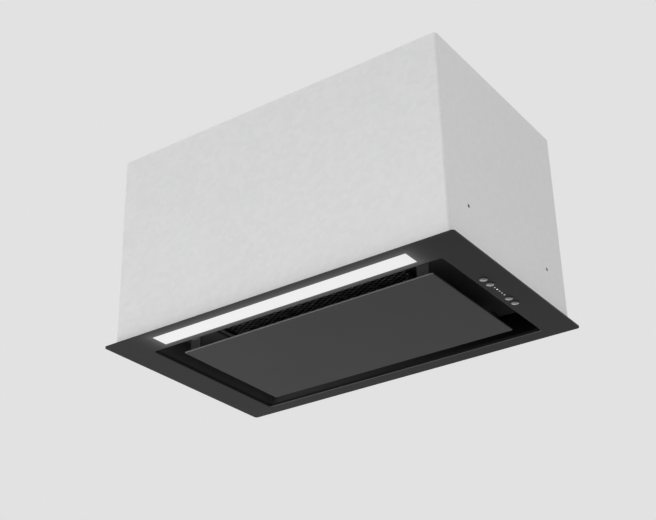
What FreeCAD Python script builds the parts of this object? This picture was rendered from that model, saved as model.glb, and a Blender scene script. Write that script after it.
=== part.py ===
"""Recessed ceiling range hood: flush trim with a light strip, a hinged suction panel with open
edges all round it, a grease filter, a double-inlet fan and an outlet collar with two flaps.

Millimetres. +X runs to the button side, +Y away from the front, +Z up into the ceiling.
The origin is the middle of the trim's upper face, where it meets the ceiling.
"""
import FreeCAD, Part
import math
import os

from FreeCAD import Vector as V

os.makedirs("parts", exist_ok=True)

# ---- overall -------------------------------------------------------------------------------
HOUSING_W = 500.0
HOUSING_D = 300.0
HOUSING_SHEET = 1.0
FOOT_END_GAP = 8.0          # bare corner beyond each end of a foot
HOUSING_FOLD = 12.0         # turned-in foot of the housing's side walls
HOUSING_BEND = 3.0
TRIM_BORDER = 10.0          # trim beyond the housing, all round
FLANGE_T = 2.0              # trim's edge, hem and all
TRIM_SHEET = 1.2            # sheet the trim is folded from
FLANGE_CORNER = 4.0
HEM_W = 9.0                 # folded-back border that meets the ceiling
FLANGE_W = HOUSING_W + 2 * TRIM_BORDER
FLANGE_D = HOUSING_D + 2 * TRIM_BORDER

# ---- opening, suction panel and its hinge --------------------------------------------------
SIDE_MARGIN = 43.4          # trim's edge to the opening
FRONT_MARGIN = 48.6
BACK_MARGIN = 21.8
OPENING_W = FLANGE_W - 2 * SIDE_MARGIN
OPENING_FRONT = -FLANGE_D / 2 + FRONT_MARGIN
OPENING_BACK = FLANGE_D / 2 - BACK_MARGIN
OPENING_CORNER = 3.0
COLLAR_TOP = 34.0           # upper edge of the turned-up walls
SIDE_GAP = 28.2             # open edges round the panel
FRONT_GAP = 26.7
BACK_GAP = 24.3
PANEL_W = OPENING_W - 2 * SIDE_GAP
PANEL_FRONT = OPENING_FRONT + FRONT_GAP
PANEL_BACK = OPENING_BACK - BACK_GAP
PANEL_SHEET = 0.8
PANEL_CORNER = 2.0
PANEL_BEND = 0.7
PANEL_HEM_W = 15.0          # border folded back flat, which doubles the panel's edge
PAN_INSET = 16.0            # stiffening pan inside the panel's edge
PAN_H = 9.2
PAN_T = 1.0
PAN_BEND = 1.5
PAN_RIB = 1.6               # height of the pressed ribs
PAN_RIB_W = 14.0
HINGE_SETBACK = 7.9         # pin inside the panel's back edge
HINGE_Y = PANEL_BACK - HINGE_SETBACK
HINGE_Z = 14.0
HINGE_PIN_R = 2.0
HINGE_HEAD_R = 3.4
HINGE_HEAD_T = 1.2
HINGE_KNUCKLE_R = 4.0
HINGE_INSET = 38.4          # each hinge from the panel's end
HINGE_X = PANEL_W / 2 - HINGE_INSET
HINGE_KNUCKLE_L = 16.0
HINGE_EAR_T = 2.0
HINGE_LEAF_L = 26.0
HINGE_LEAF_T = 1.6
HINGE_SIDE_GAP = 0.4
HINGE_SLOT_GAP = 0.8
HINGE_NECK_UP = 9.0         # neck's underside above the pin
CATCH_INSET = 15.4          # each catch from the panel's end
CATCH_SETBACK = 4.7         # and from its front edge
CATCH_X = PANEL_W / 2 - CATCH_INSET
CATCH_Y = PANEL_FRONT + CATCH_SETBACK
CATCH_TAB_W = 16.0
CATCH_TAB_T = 2.0
CATCH_FOOT = 10.0
CATCH_SUNK = 9.5            # tab's tip below the intake plate
CATCH_TAB_TOP = COLLAR_TOP - CATCH_SUNK
CATCH_GAP = 0.4
CATCH_SHEET = 1.0
CATCH_JAW = 9.0             # depth of the jaws that take the tab
CATCH_CLIP_W = 12.0

# ---- light strip ---------------------------------------------------------------------------
LIGHT_D = 25.0
LIGHT_INSET = 71.0          # trim's side edge to the strip's end
LIGHT_EDGE = 14.2           # trim's front edge to the strip
LIGHT_W = FLANGE_W - 2 * LIGHT_INSET
LIGHT_FRONT = -FLANGE_D / 2 + LIGHT_EDGE
LIGHT_BACK = LIGHT_FRONT + LIGHT_D
LIGHT_GAP = 0.3
LIGHT_CORNER = 0.8
LIP_W = LIGHT_W + 3.0        # diffuser's lip over the slot's edge
LIP_D = LIGHT_D + 1.6
DIFFUSER_T = 3.2
CHANNEL_WALL = 1.2
CHANNEL_H = 15.0
CHANNEL_BEND = 1.5
LED_COUNT = 28
LED_SIDE = 2.8
LED_H = 0.8
LED_BOARD_W = 12.0
LED_BOARD_T = 1.6
LED_BOARD_END = 6.0         # bare channel beyond each end of the board

# ---- push buttons --------------------------------------------------------------------------
BUTTON_BESIDE = 11.7        # row of buttons beside the opening
BUTTON_X = OPENING_W / 2 + BUTTON_BESIDE
BUTTON_MID_Y = 4.0
BUTTON_INNER = 23.7         # inner pair, from the middle of the row
BUTTON_OUTER = 39.6
BUTTON_R = 5.0
BUTTON_PROUD = 1.7          # crown below the trim's face
BUTTON_DOME = 1.2           # rise of the crown over the cap's edge
BUTTON_GAP = 0.3
BUTTON_LIP = 1.1            # retaining lip beyond the cap
BUTTON_LIP_T = 1.2
BUTTON_STEM_R = 2.4
BUTTON_STEM_TOP = 6.4
BUTTON_TRAVEL = 1.2
STEM_FIT = 0.1
LIP_FIT = 0.4
STOP_GAP = 0.3              # play left before a stop
DOT_COUNT = 5
DOT_R = 1.0
DOT_PITCH = 6.1
DOT_FIT = 0.15
CARRIER_W = 15.6
CARRIER_L = 100.0
CARRIER_POST = 4.0
CARRIER_T = 3.2             # guide plate over the buttons' lips
BOARD_T = 1.6
BOARD_STANDOFF = 6.0
SWITCH_SIDE = 6.0
SWITCH_H = 2.4
SWITCH_R = 1.5
LENS_BAR_W = 3.4
LENS_BAR_T = 1.6

# ---- intake plate and grease filter --------------------------------------------------------
TRAY_T = 1.0
TRAY_EDGE_GAP = 0.3         # intake plate to housing wall
FILTER_CATCH_GAP = 15.0     # filter's end to the catch beside it
FILTER_FRONT_GAP = 13.4     # filter to the opening's front wall
FILTER_HINGE_GAP = 2.0      # filter's back edge in front of the hinge pin
FILTER_W = 2 * (CATCH_X - CATCH_TAB_W / 2 - FILTER_CATCH_GAP)
FILTER_FRONT = OPENING_FRONT + FILTER_FRONT_GAP
FILTER_BACK = HINGE_Y - FILTER_HINGE_GAP
FILTER_T = 9.0
FILTER_RIM = 11.0           # face width of the filter's channel frame
FILTER_CORNER = 4.0
CHANNEL_SKIN = 1.0          # sheet of the filter's channel frame
MESH_LAP = 4.0              # mesh pack inside the channel
MESH_COLUMNS = 12
MESH_ROWS = 8
FILTER_SEAT_GAP = 0.3
APERTURE_LAP = 8.0          # intake plate over the filter's edge
LEDGE_T = 1.0
LEDGE_LIP = 6.0             # turned-in foot that the filter rests on
LEDGE_L = 60.0
LATCH_W = 46.0
LATCH_T = 2.4
LATCH_TRAVEL = 5.0
LATCH_TONGUE = 4.0          # reach of the latch over the front ledge
LATCH_GRIP_H = 4.0
LATCH_GRIP_W = 6.0
LATCH_FIT = 0.4
LATCH_TONGUE_T = 1.3
LATCH_TONGUE_W = 10.0

# ---- fan -----------------------------------------------------------------------------------
FAN_Y = -26.0
FAN_R = 64.0
FAN_INNER_R = 53.0
FAN_W = 112.0
BLADE_COUNT = 26
BLADE_T = 0.8
BLADE_CAMBER = 3.2
BLADE_LEAN = 34.0           # degrees from the radius
FAN_DISC_T = 2.0
FAN_RING_T = 2.0
FAN_HUB_R = 9.0
FAN_HUB_L = 20.0
FAN_HUB_START = -6.0        # hub's end on the motor's side of the disc
FAN_RIM_DEPTH = 2.5
SHAFT_R = 4.0
SHAFT_FIT = 0.05
SCROLL_GAP = 8.0            # fan's rim to the scroll at its tongue
SCROLL_STEP = 9.0           # growth of the scroll for each quarter turn
SCROLL_WALL = 2.0
SCROLL_W = 124.0
BAND_W = 3.0                # joint flange of each half
BAND_H = 2.5
SCROLL_TONGUE = 14.0        # fan axis to the inner wall of the mouth
TONGUE_R = 6.0              # nose of the tongue
SCROLL_FLOOR = 26.0         # scroll above the intake plate
MOUTH_RISE = 20.0           # straight mouth above the scroll's crown
FAN_Z = COLLAR_TOP + TRAY_T + SCROLL_FLOOR + SCROLL_WALL + FAN_R + SCROLL_GAP + SCROLL_STEP
SCROLL_MOUTH_Z = FAN_Z + FAN_R + SCROLL_GAP + MOUTH_RISE
INLET_R = 50.0
INLET_LIP = 6.0
INLET_BEND = 5.0            # radius of the bell mouth
INLET_T = 2.0
INLET_SKIN = 1.5
INLET_NOZZLE = 4.0          # straight throat inside the bend
MOTOR_R = 38.0
MOTOR_L = 64.0
MOTOR_FACE = 12.0           # motor's inner face from the fan's disc
MOTOR_RIB_COUNT = 12
MOTOR_RIB = 1.6
MOTOR_RIB_H = 3.0
MOTOR_BEND = 5.0
MOTOR_BOSS_L = 3.0
SHAFT_SUNK = 8.0            # depth of the shaft inside the motor
SHAFT_END = 24.0            # threaded end beyond the fan's disc
NUT_R = 7.0
NUT_T = 6.0
MOTOR_BOSS_R = 8.0
SPIDER_ANGLES = (30, 150, 270)
SPIDER_ARM_W = 12.0
SPIDER_T = 2.0
SPIDER_R = 66.0
SPIDER_RING = 5.0
SPIDER_SLEEVE = 8.0
SPIDER_RIB_H = 5.0
BUSH_R = 4.0
BUSH_L = 6.0
SCREW_R = 2.0
SCREW_HEAD_R = 3.8
SCREW_HEAD_T = 2.2
SCREW_L = 6.0
SCREW_HOLE_GAP = 0.2

# ---- outlet --------------------------------------------------------------------------------
DUCT_R = 74.5               # outside of the round collar
DUCT_WALL = 2.0
DUCT_H = 38.0               # collar above the housing
DUCT_FLANGE_R = 88.0
DUCT_FLANGE_T = 2.5
DUCT_Y = FAN_Y + (SCROLL_TONGUE + FAN_R + SCROLL_GAP + 3 * SCROLL_STEP) / 2
FLAP_T = 1.2
FLAP_GAP = 1.0
FLAP_SEAT = 2.0             # inner ledge that the flaps close on
FLAP_Z = 10.0               # flaps above the collar's foot
FLAP_PIN_R = 1.5
FLAP_KNUCKLE_R = 3.0
FLAP_KNUCKLE_L = 18.0
FLAP_EDGE_GAP = 1.2         # flap's straight edge to its knuckles
FLAP_OUTER_X = 48.0         # knuckles of the front flap
FLAP_INNER_X = 17.0         # and of the rear one
FLAP_LEAF = 6.0
FLAP_LEAF_T = 0.8
FLAP_BOSS = 5.0
ADAPTER_H = 43.0            # scroll's mouth to the housing's top sheet
HOUSING_TOP = SCROLL_MOUTH_Z + ADAPTER_H + HOUSING_SHEET
ADAPTER_WALL = 1.5          # step of the inside past the scroll's outer face
ADAPTER_RIM = 8.0
ADAPTER_RIM_T = 2.0
ADAPTER_CORNER = 6.0
ADAPTER_SPREAD = 24         # degrees of the circle that each side takes, either way
ADAPTER_FIT = 0.3
ADAPTER_SKIN = 2.3          # adapter outside the scroll's mouth
ADAPTER_SOCKET = 6.0        # lap over the mouth

# ---- electrics -----------------------------------------------------------------------------
BOX_W = 70.0
BOX_D = 150.0
BOX_H = 46.0
BOX_WALL = 2.0
BOX_CORNER = 4.0
BOX_POST_R = 4.0
BOX_POST_INSET = 9.0
BOARD_DROP = 8.0            # power board below the box's roof
BOARD_MARGIN = 6.0
TRANSFORMER = (18.0, 26.0, 18.0)
RELAY = (16.0, 12.0, 15.0)
RELAY_PITCH = 18.0
TERMINAL_W = 48.0
TERMINAL_D = 18.0
TERMINAL_H = 15.0
TERMINAL_BESIDE = 24.0      # from the lead's entry
TERMINAL_PITCH = 9.5
TERMINAL_WELL_R = 2.6
TERMINAL_WELL = 8.0
TERMINAL_SLOT = 1.0
TERMINAL_SLOT_H = 4.0
BOX_SIDE_GAP = 9.0          # box to the housing's side wall
BOX_X = HOUSING_W / 2 - HOUSING_SHEET - BOX_SIDE_GAP - BOX_W / 2
BOX_Y = 20.0
CAP_R = 17.5
CAP_L = 58.0
CAP_BEND = 2.0
CAP_STUD_R = 4.0
CAP_STUD_L = 9.0
STRAP_W = 18.0
STRAP_T = 1.2
STRAP_FOOT = 12.0
STRAP_FIT = 0.02
DRIVER_L = 110.0
DRIVER_W = 30.0
DRIVER_H = 21.0
DRIVER_SIDE_GAP = 20.0      # driver to the housing's side wall
DRIVER_FRONT_GAP = 8.0
DRIVER_CORNER = 2.0
DRIVER_BEND = 1.5
DRIVER_GROOVES = 4
DRIVER_GROOVE_END = 12.0
DRIVER_GROOVE_W = 2.0
DRIVER_GROOVE_DEPTH = 1.0
GLAND_R = 4.5
GLAND_STEM_T = 2.0
GLAND_FIT = 0.2
GLAND_TAIL = 6.0            # stem inside the box
GLAND_DOME = 2.5
GLAND_OUT_R = 9.0
GLAND_H = 14.0
GLAND_NUT_R = 11.0
GLAND_NUT_T = 5.0

# ---- fixings -------------------------------------------------------------------------------
HANGER_INSET_X = 30.0       # hanging holes inside the housing's sides
HANGER_INSET_Y = 32.0
HANGER_X = HOUSING_W - 2 * HANGER_INSET_X
HANGER_Y = HOUSING_D - 2 * HANGER_INSET_Y
HANGER_R = 3.5
SIDE_HOLE_R = 2.5
SIDE_HOLE_SPACING = 200.0
SIDE_HOLE_Z = 60.0
FOOT_SCREW_INSET = 25.0     # outer screws of each foot from the housing's corners

# ---- levels and edges worked out from the sizes above --------------------------------------
UNDER = -FLANGE_T                                   # trim's lower face
TRIM_BACK = UNDER + TRIM_SHEET                      # trim's inner face
OPENING_MID = (OPENING_FRONT + OPENING_BACK) / 2
OPENING_D = OPENING_BACK - OPENING_FRONT
PANEL_MID = (PANEL_FRONT + PANEL_BACK) / 2
PANEL_D = PANEL_BACK - PANEL_FRONT
PANEL_IN = UNDER + PANEL_SHEET                      # skin's inner face, which carries the pan
HEM_TOP = PANEL_IN + PANEL_SHEET
HINGE_BASE_Z = PANEL_IN + PAN_H                     # pan's top
LIGHT_MID = (LIGHT_FRONT + LIGHT_BACK) / 2
FILTER_MID = (FILTER_FRONT + FILTER_BACK) / 2
FILTER_D = FILTER_BACK - FILTER_FRONT
FILTER_TOP = COLLAR_TOP - FILTER_SEAT_GAP
FILTER_LOW = FILTER_TOP - FILTER_T
TRAY_TOP = COLLAR_TOP + TRAY_T
HOUSING_IN_X = HOUSING_W / 2 - HOUSING_SHEET
HOUSING_IN_Y = HOUSING_D / 2 - HOUSING_SHEET
CEILING_IN = HOUSING_TOP - HOUSING_SHEET            # housing's top sheet, inside
BUTTON_YS = [BUTTON_MID_Y + s for s in (-BUTTON_OUTER, -BUTTON_INNER, BUTTON_INNER, BUTTON_OUTER)]


def save(name, shape):
    if not shape.isValid():
        shape.fix(0.01, 0.01, 0.01)
    shape.exportStep("parts/" + name + ".step")


def block(x0, x1, y0, y1, z0, z1):
    return Part.makeBox(x1 - x0, y1 - y0, z1 - z0, V(x0, y0, z0))


def plate(width, depth, mid_x, mid_y, z0, z1, corner):
    """A flat plate with round corners, standing between two levels."""
    solid = block(mid_x - width / 2, mid_x + width / 2, mid_y - depth / 2, mid_y + depth / 2, z0, z1)
    upright = [e for e in solid.Edges if abs(e.tangentAt(e.FirstParameter).z) > 0.9]
    return solid.makeFillet(corner, upright) if corner > 0 else solid


def rod(radius, start, axis, length):
    return Part.makeCylinder(radius, length, start, axis)


def extrude_yz(points, x0, x1):
    wire = Part.makePolygon([V(x0, y, z) for y, z in [*points, points[0]]])
    return Part.Face(wire).extrude(V(x1 - x0, 0, 0))


def joined(first, *others):
    return first.fuse(list(others)).removeSplitter()


def group(solids):
    return Part.makeCompound(solids)


def screw(x, y, z, axis):
    """Pan head with its shank pointing back into the work."""
    head = rod(SCREW_HEAD_R, V(x, y, z), axis, SCREW_HEAD_T)
    shank = rod(SCREW_R, V(x, y, z) - axis * SCREW_L, axis, SCREW_L)
    return joined(head, shank)


# ---- trim ----------------------------------------------------------------------------------
def trim_frame():
    """Face sheet with a hemmed border, a turned-up opening, a light slot and button holes."""
    sheet = plate(FLANGE_W, FLANGE_D, 0, 0, UNDER, TRIM_BACK, FLANGE_CORNER)
    outer = plate(FLANGE_W, FLANGE_D, 0, 0, TRIM_BACK, 0, FLANGE_CORNER)
    inner = plate(FLANGE_W - 2 * HEM_W, FLANGE_D - 2 * HEM_W, 0, 0, TRIM_BACK, 0, FLANGE_CORNER)
    walls = plate(OPENING_W + 2 * TRIM_SHEET, OPENING_D + 2 * TRIM_SHEET, 0, OPENING_MID,
                  TRIM_BACK, COLLAR_TOP, OPENING_CORNER + TRIM_SHEET)
    trim = joined(sheet, outer.cut(inner), walls)
    mouth = plate(OPENING_W, OPENING_D, 0, OPENING_MID, UNDER, COLLAR_TOP, OPENING_CORNER)
    trim = trim.cut(mouth)
    trim = trim.makeFillet(TRIM_SHEET * 0.9, opening_edges(trim))
    slot = plate(LIGHT_W + 2 * LIGHT_GAP, LIGHT_D + 2 * LIGHT_GAP, 0, LIGHT_MID, UNDER, 0, 1.0)
    holes = [rod(BUTTON_R + BUTTON_GAP, V(BUTTON_X, y, UNDER), V(0, 0, 1), FLANGE_T)
             for y in BUTTON_YS]
    holes += [rod(DOT_R + DOT_FIT, V(BUTTON_X, y, UNDER), V(0, 0, 1), FLANGE_T)
              for y in dot_places()]
    return trim.cut([slot, *holes])


def opening_edges(trim):
    """Lower edges of the opening, where the sheet rolls up into the walls."""
    found = []
    for edge in trim.Edges:
        box = edge.BoundBox
        level = abs(box.ZMin - UNDER) < 0.01 and abs(box.ZMax - UNDER) < 0.01
        inside = box.XMax < OPENING_W / 2 + 0.1 and box.XMin > -OPENING_W / 2 - 0.1
        if level and inside and box.YMin > OPENING_FRONT - 0.1 and box.YMax < OPENING_BACK + 0.1:
            found.append(edge)
    return found


def dot_places():
    first = BUTTON_MID_Y - DOT_PITCH * (DOT_COUNT - 1) / 2
    return [first + DOT_PITCH * i for i in range(DOT_COUNT)]


# ---- housing -------------------------------------------------------------------------------
def housing_shell():
    """Five-sided sheet box over the fan, with turned-in feet on its two short sides."""
    outer = plate(HOUSING_W, HOUSING_D, 0, 0, TRIM_BACK, HOUSING_TOP, HOUSING_BEND)
    top = [e for e in outer.Edges if abs(e.BoundBox.ZMin - HOUSING_TOP) < 0.01]
    outer = outer.makeFillet(HOUSING_BEND - 0.5, top)
    inner = plate(HOUSING_W - 2 * HOUSING_SHEET, HOUSING_D - 2 * HOUSING_SHEET, 0, 0, TRIM_BACK,
                  CEILING_IN, HOUSING_BEND - HOUSING_SHEET)
    shell = outer.cut(inner)
    feet = []
    reach = HOUSING_IN_Y - FOOT_END_GAP
    for side in (-1, 1):
        near = side * (HOUSING_W / 2 - HOUSING_SHEET / 2)
        far = side * (HOUSING_W / 2 - HOUSING_FOLD)
        feet.append(block(min(near, far), max(near, far), -reach, reach, TRIM_BACK,
                          TRIM_BACK + HOUSING_SHEET))
    shell = joined(shell, *feet)
    holes = [rod(DUCT_R - DUCT_WALL - FLAP_SEAT, V(0, DUCT_Y, CEILING_IN), V(0, 0, 1),
                 HOUSING_SHEET)]
    holes.append(rod(GLAND_R + GLAND_STEM_T, V(BOX_X, BOX_Y, CEILING_IN), V(0, 0, 1),
                     HOUSING_SHEET))
    for x in (-HANGER_X / 2, HANGER_X / 2):
        for y in (-HANGER_Y / 2, HANGER_Y / 2):
            holes.append(rod(HANGER_R, V(x, y, CEILING_IN), V(0, 0, 1), HOUSING_SHEET))
    for x in (-HOUSING_W / 2, HOUSING_W / 2):
        for y in (-SIDE_HOLE_SPACING / 2, SIDE_HOLE_SPACING / 2):
            holes.append(rod(SIDE_HOLE_R, V(x - HOUSING_SHEET, y, SIDE_HOLE_Z), V(1, 0, 0),
                             2 * HOUSING_SHEET))
    return shell.cut(holes)


# ---- suction panel -------------------------------------------------------------------------
def panel_skin():
    """Flat pressing with its border folded back flat, and slots that clear the hinge's ears."""
    outer = plate(PANEL_W, PANEL_D, 0, PANEL_MID, UNDER, HEM_TOP, PANEL_CORNER)
    low = [e for e in outer.Edges if e.BoundBox.ZMax < UNDER + 0.01]
    outer = outer.makeFillet(PANEL_BEND, low)
    window = plate(PANEL_W - 2 * PANEL_HEM_W, PANEL_D - 2 * PANEL_HEM_W, 0, PANEL_MID,
                   PANEL_IN, HEM_TOP, PANEL_CORNER)
    return outer.cut([window, *hinge_slots()])


def panel_back_plate():
    """Shallow pan behind the skin, open towards it, with pressed ribs on its top."""
    wide, deep, high = PANEL_W - 2 * PAN_INSET, PANEL_D - 2 * PAN_INSET, HINGE_BASE_Z
    outer = plate(wide, deep, 0, PANEL_MID, PANEL_IN, high, PANEL_CORNER)
    top = [e for e in outer.Edges if e.BoundBox.ZMin > high - 0.01]
    inner = plate(wide - 2 * PAN_T, deep - 2 * PAN_T, 0, PANEL_MID, PANEL_IN, high - PAN_T,
                  PANEL_CORNER - PAN_T / 2)
    ribs = [plate(PAN_RIB_W, PANEL_D * 0.62, x, PANEL_MID, high, high + PAN_RIB, PAN_RIB_W / 3)
            for x in (-PANEL_W / 4, 0, PANEL_W / 4)]
    return joined(outer.makeFillet(PAN_BEND, top), *ribs).cut(inner)


def hinge_leaf(x):
    """Leaf on the panel's back with a rolled knuckle round the pin."""
    leaf = block(x - HINGE_KNUCKLE_L / 2, x + HINGE_KNUCKLE_L / 2, HINGE_Y - HINGE_LEAF_L, HINGE_Y,
                 HINGE_BASE_Z, HINGE_BASE_Z + HINGE_LEAF_T)
    knuckle = rod(HINGE_KNUCKLE_R, V(x - HINGE_KNUCKLE_L / 2, HINGE_Y, HINGE_Z), V(1, 0, 0),
                  HINGE_KNUCKLE_L)
    web = extrude_yz([(HINGE_Y - HINGE_LEAF_L / 2, HINGE_BASE_Z), (HINGE_Y + 3, HINGE_BASE_Z),
                      (HINGE_Y + 3, HINGE_Z), (HINGE_Y - 3.5, HINGE_Z + 1)],
                     x - HINGE_KNUCKLE_L / 2, x + HINGE_KNUCKLE_L / 2)
    reach = 2 * HINGE_LEAF_L
    below = block(x - reach, x + reach, HINGE_Y - reach, HINGE_Y + reach, UNDER, HINGE_BASE_Z)
    bore = rod(HINGE_PIN_R + STEM_FIT, V(x - reach, HINGE_Y, HINGE_Z), V(1, 0, 0), 2 * reach)
    return joined(leaf, knuckle, web).cut([below, bore])


def hinge_bracket(x):
    """Two swan-neck ears over the back of the panel, on a plate against the opening's wall."""
    wall, roof = OPENING_BACK, HINGE_Z + HINGE_NECK_UP
    reach = HINGE_KNUCKLE_L / 2 + HINGE_SIDE_GAP
    ears = []
    for x0 in (x - reach - HINGE_EAR_T, x + reach):
        lug = rod(HINGE_KNUCKLE_R, V(x0, HINGE_Y, HINGE_Z), V(1, 0, 0), HINGE_EAR_T)
        neck = extrude_yz([(HINGE_Y - 3, HINGE_Z + 2.6), (HINGE_Y + 2.5, HINGE_Z - 3.1),
                           (HINGE_Y + 15, roof), (wall, roof),
                           (wall, COLLAR_TOP - 1), (HINGE_Y + 14, COLLAR_TOP - 1)],
                          x0, x0 + HINGE_EAR_T)
        ears.append(joined(lug, neck))
    back = block(x - reach - HINGE_EAR_T, x + reach + HINGE_EAR_T, wall - HINGE_LEAF_T, wall,
                 roof, COLLAR_TOP - 1)
    body = joined(back, *ears)
    return body.cut(rod(HINGE_PIN_R, V(x - 2 * reach, HINGE_Y, HINGE_Z), V(1, 0, 0), 4 * reach))


def hinge_pin(x):
    reach = HINGE_KNUCKLE_L / 2 + HINGE_SIDE_GAP + HINGE_EAR_T
    pin = rod(HINGE_PIN_R, V(x - reach, HINGE_Y, HINGE_Z), V(1, 0, 0), 2 * reach)
    head = rod(HINGE_HEAD_R, V(x - reach - HINGE_HEAD_T, HINGE_Y, HINGE_Z), V(1, 0, 0), HINGE_HEAD_T)
    return joined(pin, head)


def catch_tab(x):
    """Upright tongue on the panel's hem that snaps between the jaws of the clip above."""
    foot = block(x - CATCH_TAB_W / 2, x + CATCH_TAB_W / 2, CATCH_Y - CATCH_TAB_T / 2,
                 CATCH_Y + CATCH_FOOT, HEM_TOP, HEM_TOP + CATCH_TAB_T)
    tongue = block(x - CATCH_TAB_W / 2, x + CATCH_TAB_W / 2, CATCH_Y - CATCH_TAB_T / 2,
                   CATCH_Y + CATCH_TAB_T / 2, HEM_TOP, CATCH_TAB_TOP)
    top = [e for e in tongue.Edges if e.BoundBox.ZMin > CATCH_TAB_TOP - 0.01 and
           abs(e.tangentAt(0).x) > 0.9]
    return joined(foot, tongue.makeFillet(CATCH_TAB_T * 0.45, top))


def catch_clip(x):
    """Folded spring clip under the intake plate: two jaws, open below."""
    inner = CATCH_TAB_T / 2 + CATCH_GAP
    outer = inner + CATCH_SHEET
    low = CATCH_TAB_TOP - CATCH_JAW
    body = block(x - CATCH_CLIP_W / 2, x + CATCH_CLIP_W / 2, CATCH_Y - outer,
                 CATCH_Y + outer, low, COLLAR_TOP)
    throat = block(x - CATCH_TAB_W, x + CATCH_TAB_W, CATCH_Y - inner, CATCH_Y + inner, low,
                   COLLAR_TOP - CATCH_SHEET)
    foot = block(x - CATCH_CLIP_W / 2, x + CATCH_CLIP_W / 2, CATCH_Y - outer,
                 CATCH_Y + outer + CATCH_TAB_W / 3, COLLAR_TOP - CATCH_SHEET, COLLAR_TOP)
    return joined(body.cut(throat), foot)


def hinge_slots():
    """Notches in the hem of the panel's back edge."""
    reach = HINGE_KNUCKLE_L / 2 + HINGE_SIDE_GAP
    cuts = []
    for x in (-HINGE_X, HINGE_X):
        for x0 in (x - reach - HINGE_EAR_T, x + reach):
            cuts.append(block(x0 - HINGE_SLOT_GAP, x0 + HINGE_EAR_T + HINGE_SLOT_GAP,
                              HINGE_Y, PANEL_BACK, PANEL_IN, HEM_TOP))
    return cuts


# ---- intake plate and grease filter --------------------------------------------------------
def intake_plate():
    """Sheet over the whole opening with one aperture, and feet that carry the filter."""
    tray = plate(2 * (HOUSING_IN_X - TRAY_EDGE_GAP), 2 * (HOUSING_IN_Y - TRAY_EDGE_GAP), 0, 0,
                 COLLAR_TOP, TRAY_TOP, HOUSING_BEND)
    lap = APERTURE_LAP
    aperture = plate(FILTER_W - 2 * lap, FILTER_D - 2 * lap, 0, FILTER_MID, COLLAR_TOP - 1,
                     TRAY_TOP + 1, FILTER_CORNER)
    ledges = []
    foot = FILTER_LOW - FILTER_SEAT_GAP
    for x in (-FILTER_W / 4, FILTER_W / 4):
        x0, x1 = x - LEDGE_L / 2, x + LEDGE_L / 2
        back = FILTER_BACK + FILTER_SEAT_GAP
        ledges.append(extrude_yz([(back, COLLAR_TOP), (back + LEDGE_T, COLLAR_TOP),
                                  (back + LEDGE_T, foot - LEDGE_T),
                                  (back - LEDGE_LIP, foot - LEDGE_T), (back - LEDGE_LIP, foot),
                                  (back, foot)], x0, x1))
    front, hook = FILTER_FRONT - FILTER_SEAT_GAP, FILTER_LOW + LATCH_TONGUE_T + FILTER_SEAT_GAP
    ledges.append(extrude_yz([(front - LEDGE_T, COLLAR_TOP), (front, COLLAR_TOP),
                              (front, hook), (front - LEDGE_LIP, hook),
                              (front - LEDGE_LIP, hook + LEDGE_T), (front - LEDGE_T, hook + LEDGE_T)],
                             -LATCH_W, LATCH_W))
    return joined(tray.cut(aperture), *ledges)


def filter_frame():
    """Channel frame of the grease filter, open on its inner side for the mesh pack."""
    outer = plate(FILTER_W, FILTER_D, 0, FILTER_MID, FILTER_LOW, FILTER_TOP, FILTER_CORNER)
    long_edges = [e for e in outer.Edges if e.BoundBox.ZLength < 0.01]
    outer = outer.makeFillet(CHANNEL_SKIN * 0.8, long_edges)
    window = plate(FILTER_W - 2 * FILTER_RIM, FILTER_D - 2 * FILTER_RIM, 0, FILTER_MID,
                   FILTER_LOW, FILTER_TOP, FILTER_CORNER / 2)
    groove = plate(FILTER_W - 3 * CHANNEL_SKIN, FILTER_D - 3 * CHANNEL_SKIN, 0, FILTER_MID,
                   FILTER_LOW + CHANNEL_SKIN, FILTER_TOP - CHANNEL_SKIN, FILTER_CORNER / 2)
    pocket = block(-LATCH_W / 2 - LATCH_FIT, LATCH_W / 2 + LATCH_FIT, FILTER_FRONT,
                   FILTER_FRONT + 2 * FILTER_RIM, FILTER_LOW, FILTER_LOW + LATCH_T)
    return outer.cut([window, groove, pocket])


def filter_mesh():
    """Expanded-metal pack held in the frame's channel: one sheet of staggered diamonds."""
    lap = MESH_LAP
    low = FILTER_LOW + LATCH_T + FILTER_SEAT_GAP
    high = FILTER_TOP - CHANNEL_SKIN - FILTER_SEAT_GAP
    width, depth = FILTER_W - 2 * FILTER_RIM + 2 * lap, FILTER_D - 2 * FILTER_RIM + 2 * lap
    sheet = block(-width / 2, width / 2, FILTER_MID - depth / 2, FILTER_MID + depth / 2, low, high)
    columns, rows = MESH_COLUMNS, MESH_ROWS
    step_x, step_y = (width - 2 * lap) / columns, (depth - 2 * lap) / rows
    cuts = []
    for i in range(columns):
        for j in range(rows - i % 2):
            x = (i - (columns - 1) / 2) * step_x
            y = FILTER_MID + (j - (rows - 1) / 2 + 0.5 * (i % 2)) * step_y
            corners = [V(x - step_x * 0.62, y, low - 1), V(x, y - step_y * 0.36, low - 1),
                       V(x + step_x * 0.62, y, low - 1), V(x, y + step_y * 0.36, low - 1)]
            wire = Part.makePolygon([*corners, corners[0]])
            cuts.append(Part.Face(wire).extrude(V(0, 0, high - low + 2)))
    return sheet.cut(cuts)


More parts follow.
